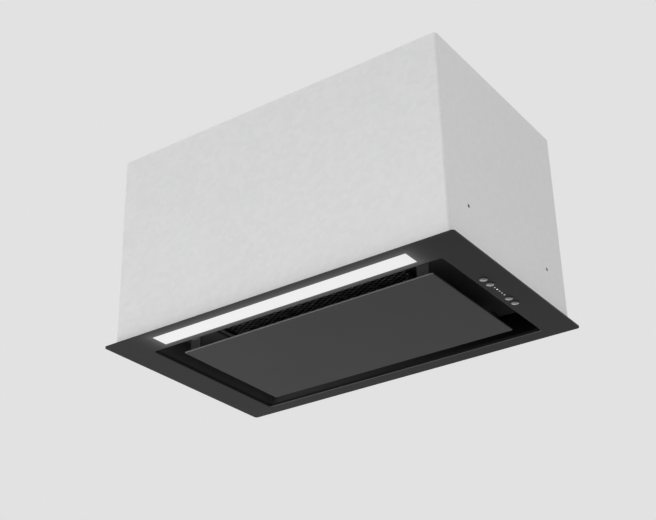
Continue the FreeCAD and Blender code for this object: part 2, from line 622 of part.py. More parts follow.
def filter_latch():
    """Sliding latch let into the filter's front rim; its tongue holds on the plate's ledge."""
    low = FILTER_LOW
    bar = block(-LATCH_W / 2, LATCH_W / 2, FILTER_FRONT + LATCH_FIT,
                FILTER_FRONT + FILTER_RIM + LATCH_TRAVEL, low, low + LATCH_T - LATCH_FIT)
    grip = plate(LATCH_W * 0.8, LATCH_GRIP_W, 0, FILTER_FRONT + FILTER_RIM, low - LATCH_GRIP_H, low,
                 LATCH_GRIP_W / 3)
    tip = [e for e in grip.Edges if e.BoundBox.ZMax < low - LATCH_GRIP_H + 0.01]
    grip = grip.makeFillet(LATCH_GRIP_W * 0.15, tip)
    near, point, thick = FILTER_FRONT + 1, FILTER_FRONT - LATCH_TONGUE, LATCH_TONGUE_T
    outline = [(near, low), (point + thick, low), (point, low + thick), (near, low + thick)]
    half = LATCH_TONGUE_W / 2
    tongues = [extrude_yz(outline, x - half, x + half) for x in (-LATCH_W / 3, LATCH_W / 3)]
    return joined(bar, grip, *tongues)


# ---- fan -----------------------------------------------------------------------------------
def scroll_block(gap, x0, x1, top):
    """Solid of the scroll's spiral, three quarter arcs that widen, and its straight mouth."""
    step, r0 = SCROLL_STEP, FAN_R + SCROLL_GAP
    nose = TONGUE_R - gap
    tongue = FAN_Y + SCROLL_TONGUE - gap
    crown = FAN_Z + r0 + gap

    def arc(cy, cz, radius, start, end):
        at = [V(x0, cy + radius * math.cos(math.radians(a)), cz + radius * math.sin(math.radians(a)))
              for a in (start, (start + end) / 2, end)]
        return Part.Arc(*at).toShape(), at[0], at[2]

    upper, a0, a1 = arc(FAN_Y, FAN_Z, r0 + gap, 90, 180)
    lower, b0, b1 = arc(FAN_Y + step, FAN_Z, r0 + step + gap, 180, 270)
    back, c0, c1 = arc(FAN_Y + step, FAN_Z + step, r0 + 2 * step + gap, 270, 360)
    lip, d0, d1 = arc(tongue - nose, crown + nose, nose, 270, 360)
    mouth_in, mouth_out = V(x0, tongue, top), V(x0, c1.y, top)
    edges = [upper, lower, back, Part.makeLine(c1, mouth_out), Part.makeLine(mouth_out, mouth_in),
             Part.makeLine(mouth_in, d1), lip, Part.makeLine(d0, a0)]
    wire = Part.Wire(Part.__sortEdges__(edges))
    return Part.Face(wire).extrude(V(x1 - x0, 0, 0))


def scroll_half(side):
    """One moulded half of the scroll, split in the middle, with its inlet hole."""
    half, wall = SCROLL_W / 2, SCROLL_WALL
    outer = scroll_block(wall, 0, side * half, SCROLL_MOUTH_Z)
    hollow = scroll_block(0, 0, side * (half - wall), SCROLL_MOUTH_Z)
    band = scroll_block(wall + BAND_H, 0, side * BAND_W, SCROLL_MOUTH_Z - ADAPTER_SOCKET - BAND_H)
    hole = rod(INLET_R + INLET_BEND, V(side * (half - wall), FAN_Y, FAN_Z), V(side, 0, 0), wall)
    return joined(outer, band).cut([hollow, hole])


def inlet_ring(side):
    """Bell mouth on the scroll's side: a flange and a quarter-round lip turned inwards."""
    face = SCROLL_W / 2
    outer_r = INLET_R + INLET_BEND + INLET_LIP
    rim, tip = face + INLET_T, face + INLET_T - INLET_BEND - INLET_NOZZLE

    def at(x, radius):
        return V(side * x, FAN_Y, FAN_Z + radius)

    half_turn = INLET_BEND * math.sin(math.radians(45))
    bend = Part.Arc(at(rim, INLET_R + INLET_BEND),
                    at(rim - INLET_BEND + half_turn, INLET_R + INLET_BEND - half_turn),
                    at(rim - INLET_BEND, INLET_R)).toShape()
    corners = [at(rim - INLET_BEND, INLET_R), at(tip, INLET_R), at(tip, INLET_R + INLET_SKIN),
               at(face, INLET_R + INLET_BEND), at(face, outer_r), at(rim, outer_r),
               at(rim, INLET_R + INLET_BEND)]
    sides = [Part.makeLine(a, b) for a, b in zip(corners, corners[1:])]
    outline = Part.Face(Part.Wire([bend, *sides]))
    return outline.revolve(V(0, FAN_Y, FAN_Z), V(1, 0, 0), 360)


def impeller():
    """Double-inlet drum: forward-curved blades through a middle disc, with a rim at each end."""
    disc = rod(FAN_R, V(-FAN_DISC_T / 2, FAN_Y, FAN_Z), V(1, 0, 0), FAN_DISC_T)
    hub = rod(FAN_HUB_R, V(FAN_HUB_START, FAN_Y, FAN_Z), V(1, 0, 0), FAN_HUB_L)
    rims = []
    for x in (-FAN_W / 2, FAN_W / 2 - FAN_RING_T):
        rim = rod(FAN_R, V(x, FAN_Y, FAN_Z), V(1, 0, 0), FAN_RING_T)
        rims.append(rim.cut(rod(FAN_R - FAN_RIM_DEPTH, V(x, FAN_Y, FAN_Z), V(1, 0, 0), FAN_RING_T)))
    blades = [blade(360.0 * i / BLADE_COUNT) for i in range(BLADE_COUNT)]
    drum = disc.fuse([hub, *rims, *blades])
    bore = rod(SHAFT_R + SHAFT_FIT, V(-FAN_W / 2, FAN_Y, FAN_Z), V(1, 0, 0), FAN_W)
    return drum.cut(bore)


def blade(turn):
    """Thin curved blade from the inner to the outer radius, hollow towards the rotation."""
    inner, outer = FAN_INNER_R, FAN_R - 0.4
    lean = math.radians(BLADE_LEAN)
    start = V(0, inner, 0)
    chord = V(0, outer * math.cos(lean / 4), outer * math.sin(lean / 4)) - start
    normal = V(0, -chord.z, chord.y).normalize()

    def arc(shift):
        ends = [start + normal * shift, start + chord * 0.5 + normal * (shift - BLADE_CAMBER),
                start + chord + normal * shift]
        return Part.Arc(*ends).toShape(), ends[0], ends[2]

    front, f0, f1 = arc(0)
    rear, r0, r1 = arc(BLADE_T)
    wire = Part.Wire([front, Part.makeLine(f1, r1), rear, Part.makeLine(r0, f0)])
    solid = Part.Face(wire).extrude(V(FAN_W - 2, 0, 0))
    solid.translate(V(1 - FAN_W / 2, FAN_Y, FAN_Z))
    solid.rotate(V(0, FAN_Y, FAN_Z), V(1, 0, 0), turn)
    return solid


def motor_can():
    """Finned motor body inside the drum's left half, with a nose boss round the shaft."""
    far = -MOTOR_FACE - MOTOR_L
    body = rod(MOTOR_R, V(far, FAN_Y, FAN_Z), V(1, 0, 0), MOTOR_L)
    ends = [e for e in body.Edges if abs(e.BoundBox.XLength) < 0.01]
    body = body.makeFillet(MOTOR_BEND, ends)
    boss = rod(MOTOR_BOSS_R, V(-MOTOR_FACE, FAN_Y, FAN_Z), V(1, 0, 0), MOTOR_BOSS_L)
    fins = []
    for i in range(MOTOR_RIB_COUNT):
        fin = block(far + MOTOR_L * 0.4, -MOTOR_FACE - MOTOR_BOSS_R, FAN_Y - MOTOR_RIB / 2,
                    FAN_Y + MOTOR_RIB / 2, FAN_Z + MOTOR_R - MOTOR_RIB,
                    FAN_Z + MOTOR_R + MOTOR_RIB_H)
        fin.rotate(V(0, FAN_Y, FAN_Z), V(1, 0, 0), 360.0 * i / MOTOR_RIB_COUNT)
        fins.append(fin)
    bore = rod(SHAFT_R + SHAFT_FIT, V(far + SHAFT_SUNK, FAN_Y, FAN_Z), V(1, 0, 0), MOTOR_L)
    return joined(body, boss, *fins).cut(bore)


def motor_shaft():
    start = -MOTOR_FACE - MOTOR_L + SHAFT_SUNK + STOP_GAP
    shaft = rod(SHAFT_R, V(start, FAN_Y, FAN_Z), V(1, 0, 0), SHAFT_END - start)
    thread_end = [e for e in shaft.Edges if e.BoundBox.XMin > SHAFT_END - 0.1]
    return shaft.makeChamfer(0.8, thread_end)


def shaft_nut():
    nut = [V(FAN_HUB_L + FAN_HUB_START, FAN_Y + NUT_R * math.cos(math.radians(a)),
             FAN_Z + NUT_R * math.sin(math.radians(a))) for a in range(0, 360, 60)]
    wire = Part.makePolygon([*nut, nut[0]])
    body = Part.Face(wire).extrude(V(NUT_T, 0, 0))
    return body.cut(rod(SHAFT_R + SHAFT_FIT, V(0, FAN_Y, FAN_Z), V(1, 0, 0), FAN_W))


def motor_bracket():
    """Three-armed spider clamped round the motor, carried on the rubber bushes."""
    plane = -SCROLL_W / 2 - BUSH_L - SPIDER_T
    ring = rod(MOTOR_R + SPIDER_RING, V(plane, FAN_Y, FAN_Z), V(1, 0, 0), SPIDER_T)
    sleeve = rod(MOTOR_R + SPIDER_T, V(plane, FAN_Y, FAN_Z), V(1, 0, 0), SPIDER_SLEEVE)
    arms = []
    for angle in SPIDER_ANGLES:
        arm = block(plane, plane + SPIDER_T, FAN_Y, FAN_Y + SPIDER_R, FAN_Z - SPIDER_ARM_W / 2,
                    FAN_Z + SPIDER_ARM_W / 2)
        eye = rod(SPIDER_ARM_W / 2, V(plane, FAN_Y + SPIDER_R, FAN_Z), V(1, 0, 0), SPIDER_T)
        rib = block(plane, plane + SPIDER_RIB_H, FAN_Y + MOTOR_R, FAN_Y + SPIDER_R - SPIDER_SLEEVE,
                    FAN_Z - SPIDER_T / 2, FAN_Z + SPIDER_T / 2)
        for piece in (arm, eye, rib):
            piece.rotate(V(0, FAN_Y, FAN_Z), V(1, 0, 0), angle)
            arms.append(piece)
    hole = rod(MOTOR_R + SHAFT_FIT, V(plane, FAN_Y, FAN_Z), V(1, 0, 0), SPIDER_SLEEVE)
    eyes = [around_fan(rod(SCREW_R + SCREW_HOLE_GAP, V(plane, FAN_Y + SPIDER_R, FAN_Z), V(1, 0, 0),
                           SPIDER_T), a)
            for a in SPIDER_ANGLES]
    return joined(ring, sleeve, *arms).cut([hole, *eyes])


def around_fan(shape, angle):
    shape.rotate(V(0, FAN_Y, FAN_Z), V(1, 0, 0), angle)
    return shape


def motor_bushes():
    solids = []
    for angle in SPIDER_ANGLES:
        at = V(-SCROLL_W / 2 - BUSH_L, FAN_Y + SPIDER_R, FAN_Z)
        bush = rod(BUSH_R, at, V(1, 0, 0), BUSH_L)
        bore = rod(SCREW_R + SCREW_HOLE_GAP, at, V(1, 0, 0), BUSH_L)
        solids.append(around_fan(bush.cut(bore), angle))
    return group(solids)


def bush_screws():
    solids = []
    for angle in SPIDER_ANGLES:
        x = -SCROLL_W / 2 - BUSH_L - SPIDER_T
        head = rod(SCREW_HEAD_R, V(x - SCREW_HEAD_T, FAN_Y + SPIDER_R, FAN_Z), V(1, 0, 0),
                   SCREW_HEAD_T)
        shank = rod(SCREW_R, V(x, FAN_Y + SPIDER_R, FAN_Z), V(1, 0, 0), BUSH_L + SPIDER_T)
        solids.append(around_fan(joined(head, shank), angle))
    return group(solids)


# ---- outlet --------------------------------------------------------------------------------
def mouth_loop(half_x, y0, y1, corner, z):
    """Round-cornered rectangle as four sides and four arcs, starting on the +X side."""
    mid_y, half_y = (y0 + y1) / 2, (y1 - y0) / 2
    centres = [(half_x - corner, half_y - corner, 0), (corner - half_x, half_y - corner, 90),
               (corner - half_x, corner - half_y, 180), (half_x - corner, corner - half_y, 270)]
    return closed_loop([(x, mid_y + y, corner, turn) for x, y, turn in centres], z)


def round_loop(radius, mid_y, z, spread):
    """Circle as eight arcs that match the sides and corners of the mouth's loop."""
    edges = []
    for turn in (0, 90, 180, 270):
        for low, high in ((turn + spread, turn + 90 - spread), (turn + 90 - spread, turn + 90 + spread)):
            edges.append(circle_arc(0, mid_y, radius, low, high, z))
    return Part.Wire(edges)


def circle_arc(cx, cy, radius, low, high, z):
    at = [V(cx + radius * math.cos(math.radians(a)), cy + radius * math.sin(math.radians(a)), z)
          for a in (low, (low + high) / 2, high)]
    return Part.Arc(*at).toShape()


def closed_loop(corners, z):
    arcs = [circle_arc(x, y, r, turn, turn + 90, z) for x, y, r, turn in corners]
    edges = []
    for i, arc in enumerate(arcs):
        following = arcs[(i + 1) % 4]
        edges += [arc, Part.makeLine(arc.valueAt(arc.LastParameter),
                                     following.valueAt(following.FirstParameter))]
    return Part.Wire(edges)


def outlet_adapter():
    """Moulded transition from the scroll's square mouth to the round hole in the housing."""
    low, high = SCROLL_MOUTH_Z, CEILING_IN
    half_x = SCROLL_W / 2
    y0 = FAN_Y + SCROLL_TONGUE - SCROLL_WALL
    y1 = FAN_Y + FAN_R + SCROLL_GAP + 3 * SCROLL_STEP + SCROLL_WALL
    round_r = DUCT_R - DUCT_WALL - FLAP_SEAT

    def body(grow):
        square = mouth_loop(half_x + grow, y0 - grow, y1 + grow, ADAPTER_CORNER + grow, low)
        circle = round_loop(round_r + grow, DUCT_Y, high, ADAPTER_SPREAD)
        return Part.makeLoft([square, circle], True, True)

    rim = rod(round_r + ADAPTER_RIM, V(0, DUCT_Y, high - ADAPTER_RIM_T), V(0, 0, 1), ADAPTER_RIM_T)
    skin, fit = ADAPTER_SKIN, ADAPTER_FIT
    lap = low - ADAPTER_SOCKET
    collar = mouth_prism(half_x + skin, y0 - skin, y1 + skin, ADAPTER_CORNER + 1, lap, low)
    socket = mouth_prism(half_x + fit, y0 - fit, y1 + fit, 1, lap, low)
    shell = joined(body(skin), rim, collar)
    through = rod(round_r, V(0, DUCT_Y, high - ADAPTER_RIM_T), V(0, 0, 1), ADAPTER_RIM_T)
    return shell.cut([body(-ADAPTER_WALL), socket, through])


def mouth_prism(half_x, y0, y1, corner, z0, z1):
    return plate(2 * half_x, y1 - y0, 0, (y0 + y1) / 2, z0, z1, corner)


def outlet_collar():
    """Round collar with a foot flange, a seat for the flaps and bosses for their pin."""
    foot, axis_z = HOUSING_TOP, HOUSING_TOP + FLAP_Z
    inner = DUCT_R - DUCT_WALL
    flange = rod(DUCT_FLANGE_R, V(0, DUCT_Y, foot), V(0, 0, 1), DUCT_FLANGE_T)
    tube = rod(DUCT_R, V(0, DUCT_Y, foot), V(0, 0, 1), DUCT_H)
    bore = rod(inner, V(0, DUCT_Y, axis_z - FLAP_T / 2 - STOP_GAP), V(0, 0, 1), DUCT_H)
    seat = rod(inner - FLAP_SEAT, V(0, DUCT_Y, foot - 1), V(0, 0, 1), DUCT_H)
    bosses = [rod(FLAP_KNUCKLE_R, V(side * inner, DUCT_Y, axis_z), V(-side, 0, 0),
                  FLAP_BOSS)
              for side in (-1, 1)]
    pin = rod(FLAP_PIN_R, V(-inner, DUCT_Y, axis_z), V(1, 0, 0), 2 * inner)
    holes = [rod(SCREW_R + SCREW_HOLE_GAP, V(x, y, foot), V(0, 0, 1), DUCT_FLANGE_T)
             for x, y in collar_screw_places()]
    return joined(flange.fuse(tube).cut([bore, seat]), *bosses).cut([pin, *holes])


def collar_screw_places():
    r = (DUCT_R + DUCT_FLANGE_R) / 2
    return [(r * math.cos(math.radians(a)), DUCT_Y + r * math.sin(math.radians(a)))
            for a in (45, 135, 225, 315)]


def flap(side):
    """Half-disc on knuckles: side -1 is the front flap, +1 the rear one."""
    axis_z = HOUSING_TOP + FLAP_Z
    radius = DUCT_R - DUCT_WALL - FLAP_GAP
    edge = FLAP_KNUCKLE_R + FLAP_EDGE_GAP
    disc = rod(radius, V(0, DUCT_Y, axis_z - FLAP_T / 2), V(0, 0, 1), FLAP_T)
    y0, y1 = sorted((DUCT_Y + side * edge, DUCT_Y - side * 2 * radius))
    disc = disc.cut(block(-radius, radius, y0, y1, axis_z - FLAP_T, axis_z + FLAP_T))
    centre = FLAP_OUTER_X if side < 0 else FLAP_INNER_X
    pieces = []
    for x in (-centre, centre):
        x0 = x - FLAP_KNUCKLE_L / 2
        pieces.append(rod(FLAP_KNUCKLE_R, V(x0, DUCT_Y, axis_z), V(1, 0, 0), FLAP_KNUCKLE_L))
        reach = sorted((DUCT_Y, DUCT_Y + side * (edge + FLAP_LEAF)))
        pieces.append(block(x0, x0 + FLAP_KNUCKLE_L, reach[0], reach[1], axis_z - FLAP_T / 2,
                            axis_z + FLAP_T / 2 + FLAP_LEAF_T))
    bore = rod(FLAP_PIN_R + STEM_FIT, V(-radius, DUCT_Y, axis_z), V(1, 0, 0), 2 * radius)
    return joined(disc, *pieces).cut(bore)


def flap_pin():
    inner = DUCT_R - DUCT_WALL
    return rod(FLAP_PIN_R, V(-inner, DUCT_Y, HOUSING_TOP + FLAP_Z), V(1, 0, 0), 2 * inner)


# ---- electrics -----------------------------------------------------------------------------
def electronics_box():
    """Moulded box under the housing's top sheet, open below, with a hole for the lead."""
    top = CEILING_IN
    outer = plate(BOX_W, BOX_D, BOX_X, BOX_Y, top - BOX_H, top, BOX_CORNER)
    inner = plate(BOX_W - 2 * BOX_WALL, BOX_D - 2 * BOX_WALL, BOX_X, BOX_Y, top - BOX_H,
                  top - BOX_WALL, BOX_CORNER - BOX_WALL)
    posts = []
    for x, y in box_corners():
        posts.append(rod(BOX_POST_R, V(x, y, top - BOX_H), V(0, 0, 1), BOX_H - BOX_WALL))
    hole = rod(GLAND_R + GLAND_STEM_T, V(BOX_X, BOX_Y, top - BOX_WALL), V(0, 0, 1), BOX_WALL)
    pilots = [rod(SCREW_R, V(x, y, top - BOX_H), V(0, 0, 1), SCREW_L) for x, y in box_corners()]
    return joined(outer.cut(inner), *posts).cut([hole, *pilots])


def box_corners():
    half_x, half_y = BOX_W / 2 - BOX_POST_INSET, BOX_D / 2 - BOX_POST_INSET
    return [(BOX_X + sx * half_x, BOX_Y + sy * half_y) for sx in (-1, 1) for sy in (-1, 1)]


def electronics_lid():
    low = CEILING_IN - BOX_H
    lid = plate(BOX_W, BOX_D, BOX_X, BOX_Y, low - BOX_WALL, low, BOX_CORNER)
    rim = [e for e in lid.Edges if e.BoundBox.ZMax < low - BOX_WALL + 0.01]
    holes = [rod(SCREW_R + SCREW_HOLE_GAP, V(x, y, low - BOX_WALL), V(0, 0, 1), BOX_WALL)
             for x, y in box_corners()]
    return lid.makeFillet(1.0, rim).cut(holes)


def lid_screws():
    low = CEILING_IN - BOX_H - BOX_WALL
    return group([screw(x, y, low, V(0, 0, -1)) for x, y in box_corners()])


def power_board():
    """Board on the box's roof posts with its relays and transformer standing down from it."""
    high = CEILING_IN - BOX_WALL - BOARD_DROP
    low = high - BOARD_T
    half_d = BOX_D * 0.22
    mid_y = BOX_Y - BOX_D * 0.15
    near = mid_y - half_d + RELAY[1] / 4
    board = plate(BOX_W - 2 * BOX_WALL - 2 * BOARD_MARGIN, 2 * half_d, BOX_X, mid_y, low, high, 1)
    wide, deep, tall = TRANSFORMER
    parts = [block(BOX_X - 2 - wide, BOX_X - 2, near, near + deep, low - tall, low)]
    wide, deep, tall = RELAY
    parts += [block(BOX_X + 3, BOX_X + 3 + wide, near + RELAY_PITCH * i, near + RELAY_PITCH * i + deep,
                    low - tall, low) for i in range(3)]
    parts += [block(BOX_X + dx - BOX_POST_R, BOX_X + dx + BOX_POST_R, mid_y + half_d * 0.6,
                    mid_y + half_d * 0.85, high, high + BOARD_DROP) for dx in (-BOX_W / 5, BOX_W / 5)]
    return joined(board, *parts)


def terminal_block():
    """Five-way screw terminal on the box's roof beside the lead's entry."""
    high = CEILING_IN - BOX_WALL
    low = high - TERMINAL_H
    y0, y1 = BOX_Y + TERMINAL_BESIDE, BOX_Y + TERMINAL_BESIDE + TERMINAL_D
    base = block(BOX_X - TERMINAL_W / 2, BOX_X + TERMINAL_W / 2, y0, y1, low, high)
    cuts = []
    for i in range(5):
        x = BOX_X + (i - 2) * TERMINAL_PITCH
        for y in (y0 + TERMINAL_D / 4, y1 - TERMINAL_D / 4):
            cuts.append(rod(TERMINAL_WELL_R, V(x, y, low), V(0, 0, 1), TERMINAL_WELL))
    for i in range(4):
        x = BOX_X + (i - 1.5) * TERMINAL_PITCH
        cuts.append(block(x - TERMINAL_SLOT / 2, x + TERMINAL_SLOT / 2, y0, y1, low,
                          low + TERMINAL_SLOT_H))
    return base.cut(cuts)


def run_capacitor():
    """Can lying on the housing's top sheet beside the scroll, in its own strap."""
    z = CEILING_IN - CAP_R
    x0 = -BOX_X - CAP_L / 2             # opposite the electrics box
    can = rod(CAP_R, V(x0, BOX_Y, z), V(1, 0, 0), CAP_L)
    ends = [e for e in can.Edges if e.BoundBox.XLength < 0.01]
    stud = rod(CAP_STUD_R, V(x0 + CAP_L, BOX_Y, z), V(1, 0, 0), CAP_STUD_L)
    return joined(can.makeFillet(CAP_BEND, ends), stud)


def capacitor_strap():
    z, x0, x1 = CEILING_IN - CAP_R, -BOX_X - STRAP_W / 2, -BOX_X + STRAP_W / 2
    ring = rod(CAP_R + STRAP_T, V(x0, BOX_Y, z), V(1, 0, 0), STRAP_W)
    upper = block(x0, x1, BOX_Y - 2 * CAP_R, BOX_Y + 2 * CAP_R, z, z + 2 * CAP_R)
    legs = []
    for side in (-1, 1):
        near, far = sorted((BOX_Y + side * CAP_R, BOX_Y + side * (CAP_R + STRAP_T)))
        legs.append(block(x0, x1, near, far, z, CEILING_IN))
        near, far = sorted((BOX_Y + side * CAP_R, BOX_Y + side * (CAP_R + STRAP_FOOT)))
        legs.append(block(x0, x1, near, far, CEILING_IN - STRAP_T, CEILING_IN))
    can = rod(CAP_R + STRAP_FIT, V(x0, BOX_Y, z), V(1, 0, 0), STRAP_W)
    return joined(ring.cut(upper), *legs).cut(can)


def cable_gland():
    """Hexagonal gland through the top sheet and the box's roof, with a domed clamping nut."""
    low = CEILING_IN - BOX_WALL
    stem = rod(GLAND_R + GLAND_STEM_T - GLAND_FIT, V(BOX_X, BOX_Y, low - GLAND_TAIL), V(0, 0, 1),
               HOUSING_TOP - low + GLAND_TAIL)
    hexagon = [V(BOX_X + GLAND_NUT_R * math.cos(math.radians(a)),
                 BOX_Y + GLAND_NUT_R * math.sin(math.radians(a)), HOUSING_TOP)
               for a in range(0, 360, 60)]
    flange = Part.Face(Part.makePolygon([*hexagon, hexagon[0]])).extrude(V(0, 0, GLAND_NUT_T))
    nut = rod(GLAND_OUT_R, V(BOX_X, BOX_Y, HOUSING_TOP), V(0, 0, 1), GLAND_H)
    top = [e for e in nut.Edges if e.BoundBox.ZMin > HOUSING_TOP + GLAND_H - 0.01]
    bore = rod(GLAND_R, V(BOX_X, BOX_Y, low - GLAND_TAIL), V(0, 0, 1), 2 * BOX_H)
    return joined(stem, flange, nut.makeFillet(GLAND_DOME, top)).cut(bore)


def led_driver():
    """Closed driver case lying on the intake plate in the front left corner."""
    x = -HOUSING_IN_X + DRIVER_SIDE_GAP + DRIVER_L / 2
    y = -HOUSING_IN_Y + DRIVER_FRONT_GAP + DRIVER_W / 2
    high = TRAY_TOP + DRIVER_H
    case = plate(DRIVER_L, DRIVER_W, x, y, TRAY_TOP, high, DRIVER_CORNER)
    top = [e for e in case.Edges if e.BoundBox.ZMin > high - 0.01]
    case = case.makeFillet(DRIVER_BEND, top)
    grooves = []
    for i in range(DRIVER_GROOVES):
        groove = x + DRIVER_L / 2 - DRIVER_GROOVE_END - 2 * DRIVER_GROOVE_W * i
        grooves.append(block(groove - DRIVER_GROOVE_W, groove, y - DRIVER_W * 0.36,
                             y + DRIVER_W * 0.36, high - DRIVER_GROOVE_DEPTH, high))
    return case.cut(grooves)


# ---- light strip ---------------------------------------------------------------------------
def light_diffuser():
    """Opal strip flush with the trim, with a wider lip that rests on the trim's inner face."""
    strip = plate(LIGHT_W, LIGHT_D, 0, LIGHT_MID, UNDER, TRIM_BACK, LIGHT_CORNER)
    lip = plate(LIP_W, LIP_D, 0, LIGHT_MID, TRIM_BACK, UNDER + DIFFUSER_T, LIGHT_CORNER)
    return joined(strip, lip)


def light_channel():
    """Folded aluminium trough over the light slot."""
    width = LIP_W + 2 * (CHANNEL_WALL + LIGHT_GAP)
    depth = LIP_D + 2 * CHANNEL_WALL + LIGHT_GAP
    top = TRIM_BACK + CHANNEL_H
    outer = plate(width, depth, 0, LIGHT_MID, TRIM_BACK, top, CHANNEL_BEND)
    upper = [e for e in outer.Edges if e.BoundBox.ZMin > top - 0.01]
    inner = plate(width - 2 * CHANNEL_WALL, depth - 2 * CHANNEL_WALL, 0, LIGHT_MID, TRIM_BACK,
                  top - CHANNEL_WALL, LIGHT_CORNER)
    return outer.makeFillet(CHANNEL_BEND * 0.6, upper).cut(inner)


def led_board():
    """Strip of small emitters on a narrow board under the trough's roof."""
    high = TRIM_BACK + CHANNEL_H - CHANNEL_WALL
    length = LIGHT_W - 2 * LED_BOARD_END
    board = block(-length / 2, length / 2, LIGHT_MID - LED_BOARD_W / 2, LIGHT_MID + LED_BOARD_W / 2,
                  high - LED_BOARD_T, high)
    pitch = length / LED_COUNT
    chips = []
    for i in range(LED_COUNT):
        x = -length / 2 + pitch * (i + 0.5)
        chips.append(block(x - LED_SIDE / 2, x + LED_SIDE / 2, LIGHT_MID - LED_SIDE / 2,
                           LIGHT_MID + LED_SIDE / 2, high - LED_BOARD_T - LED_H,
                           high - LED_BOARD_T))
    return board.fuse(chips)


# ---- push buttons --------------------------------------------------------------------------
def push_button(y):
    """Domed cap, retaining lip and stem, turned in one piece."""
    low = UNDER - BUTTON_PROUD
    cap = rod(BUTTON_R, V(BUTTON_X, y, low), V(0, 0, 1), TRIM_BACK + STOP_GAP - low)
    ball = (BUTTON_R ** 2 + BUTTON_DOME ** 2) / (2 * BUTTON_DOME)
    cap = cap.common(Part.makeSphere(ball, V(BUTTON_X, y, low + ball)))
    lip = rod(BUTTON_R + BUTTON_LIP, V(BUTTON_X, y, TRIM_BACK + STOP_GAP), V(0, 0, 1), BUTTON_LIP_T)
    stem = rod(BUTTON_STEM_R, V(BUTTON_X, y, TRIM_BACK), V(0, 0, 1), BUTTON_STEM_TOP - TRIM_BACK)
    return joined(cap, lip, stem)


def carrier_levels():
    """Underside of the guide plate, and its top."""
    lip_top = TRIM_BACK + STOP_GAP + BUTTON_LIP_T
    guide = lip_top + BUTTON_TRAVEL + STOP_GAP
    return guide, guide + CARRIER_T


def button_carrier():
    """Moulded guide on the trim's inner face: pockets for the lips, bores for the stems."""
    guide, top = carrier_levels()
    bar = plate(CARRIER_W, CARRIER_L, BUTTON_X, BUTTON_MID_Y, TRIM_BACK, top, 2)
    half, foot = (CARRIER_L - CARRIER_POST) / 2, CARRIER_POST / 2
    posts = [block(BUTTON_X - CARRIER_W / 2, BUTTON_X + CARRIER_W / 2, y - foot, y + foot, top,
                   top + BOARD_STANDOFF) for y in (BUTTON_MID_Y - half, BUTTON_MID_Y + half)]
    cuts = []
    for y in BUTTON_YS:
        cuts.append(rod(BUTTON_R + BUTTON_LIP + LIP_FIT, V(BUTTON_X, y, TRIM_BACK), V(0, 0, 1),
                        guide - TRIM_BACK))
        cuts.append(rod(BUTTON_STEM_R + STEM_FIT, V(BUTTON_X, y, guide), V(0, 0, 1), CARRIER_T))
    for y in dot_places():
        cuts.append(rod(DOT_R + DOT_FIT, V(BUTTON_X, y, TRIM_BACK), V(0, 0, 1),
                        top - TRIM_BACK))
    return joined(bar, *posts).cut(cuts)


def switch_board():
    """Small board on the carrier's posts, with a switch over each stem."""
    top = carrier_levels()[1]
    low = top + BOARD_STANDOFF
    board = plate(CARRIER_W, CARRIER_L, BUTTON_X, BUTTON_MID_Y, low, low + BOARD_T, 1)
    switches = []
    tip = BUTTON_STEM_TOP + BUTTON_TRAVEL + STOP_GAP
    for y in BUTTON_YS:
        switches.append(block(BUTTON_X - SWITCH_SIDE / 2, BUTTON_X + SWITCH_SIDE / 2,
                              y - SWITCH_SIDE / 2, y + SWITCH_SIDE / 2, low - SWITCH_H, low))
        switches.append(rod(SWITCH_R, V(BUTTON_X, y, tip), V(0, 0, 1), low - tip))
    return joined(board, *switches)


def indicator_lens():
    """Clear light pipe: five short pins on one bar, flush with the trim."""
    top = carrier_levels()[1]
    pins = [rod(DOT_R, V(BUTTON_X, y, UNDER), V(0, 0, 1), top - UNDER) for y in dot_places()]
    span = DOT_PITCH * (DOT_COUNT - 1) + 4 * DOT_R
    bar = plate(LENS_BAR_W, span, BUTTON_X, BUTTON_MID_Y, top, top + LENS_BAR_T, LENS_BAR_T)
    return joined(bar, *pins)


# ---- fixings -------------------------------------------------------------------------------
def trim_screws():
    """Heads on the housing's feet; the shanks are inside the trim's weld nuts."""
    solids = []
    outer = HOUSING_D / 2 - FOOT_SCREW_INSET
    for side in (-1, 1):
        x = side * (HOUSING_W / 2 - HOUSING_FOLD / 2 - HOUSING_SHEET)
        for y in (-outer, BUTTON_MID_Y + CARRIER_L / 2 + FOOT_SCREW_INSET / 2, outer):
            solids.append(rod(SCREW_HEAD_R, V(x, y, TRIM_BACK + HOUSING_SHEET), V(0, 0, 1),
                              SCREW_HEAD_T))
    return group(solids)


def collar_screws():
    z = HOUSING_TOP + DUCT_FLANGE_T
    return group([rod(SCREW_HEAD_R - 0.4, V(x, y, z), V(0, 0, 1), SCREW_HEAD_T)
                  for x, y in collar_screw_places()])


def both(make):
    return [make(side) for side in (-1, 1)]


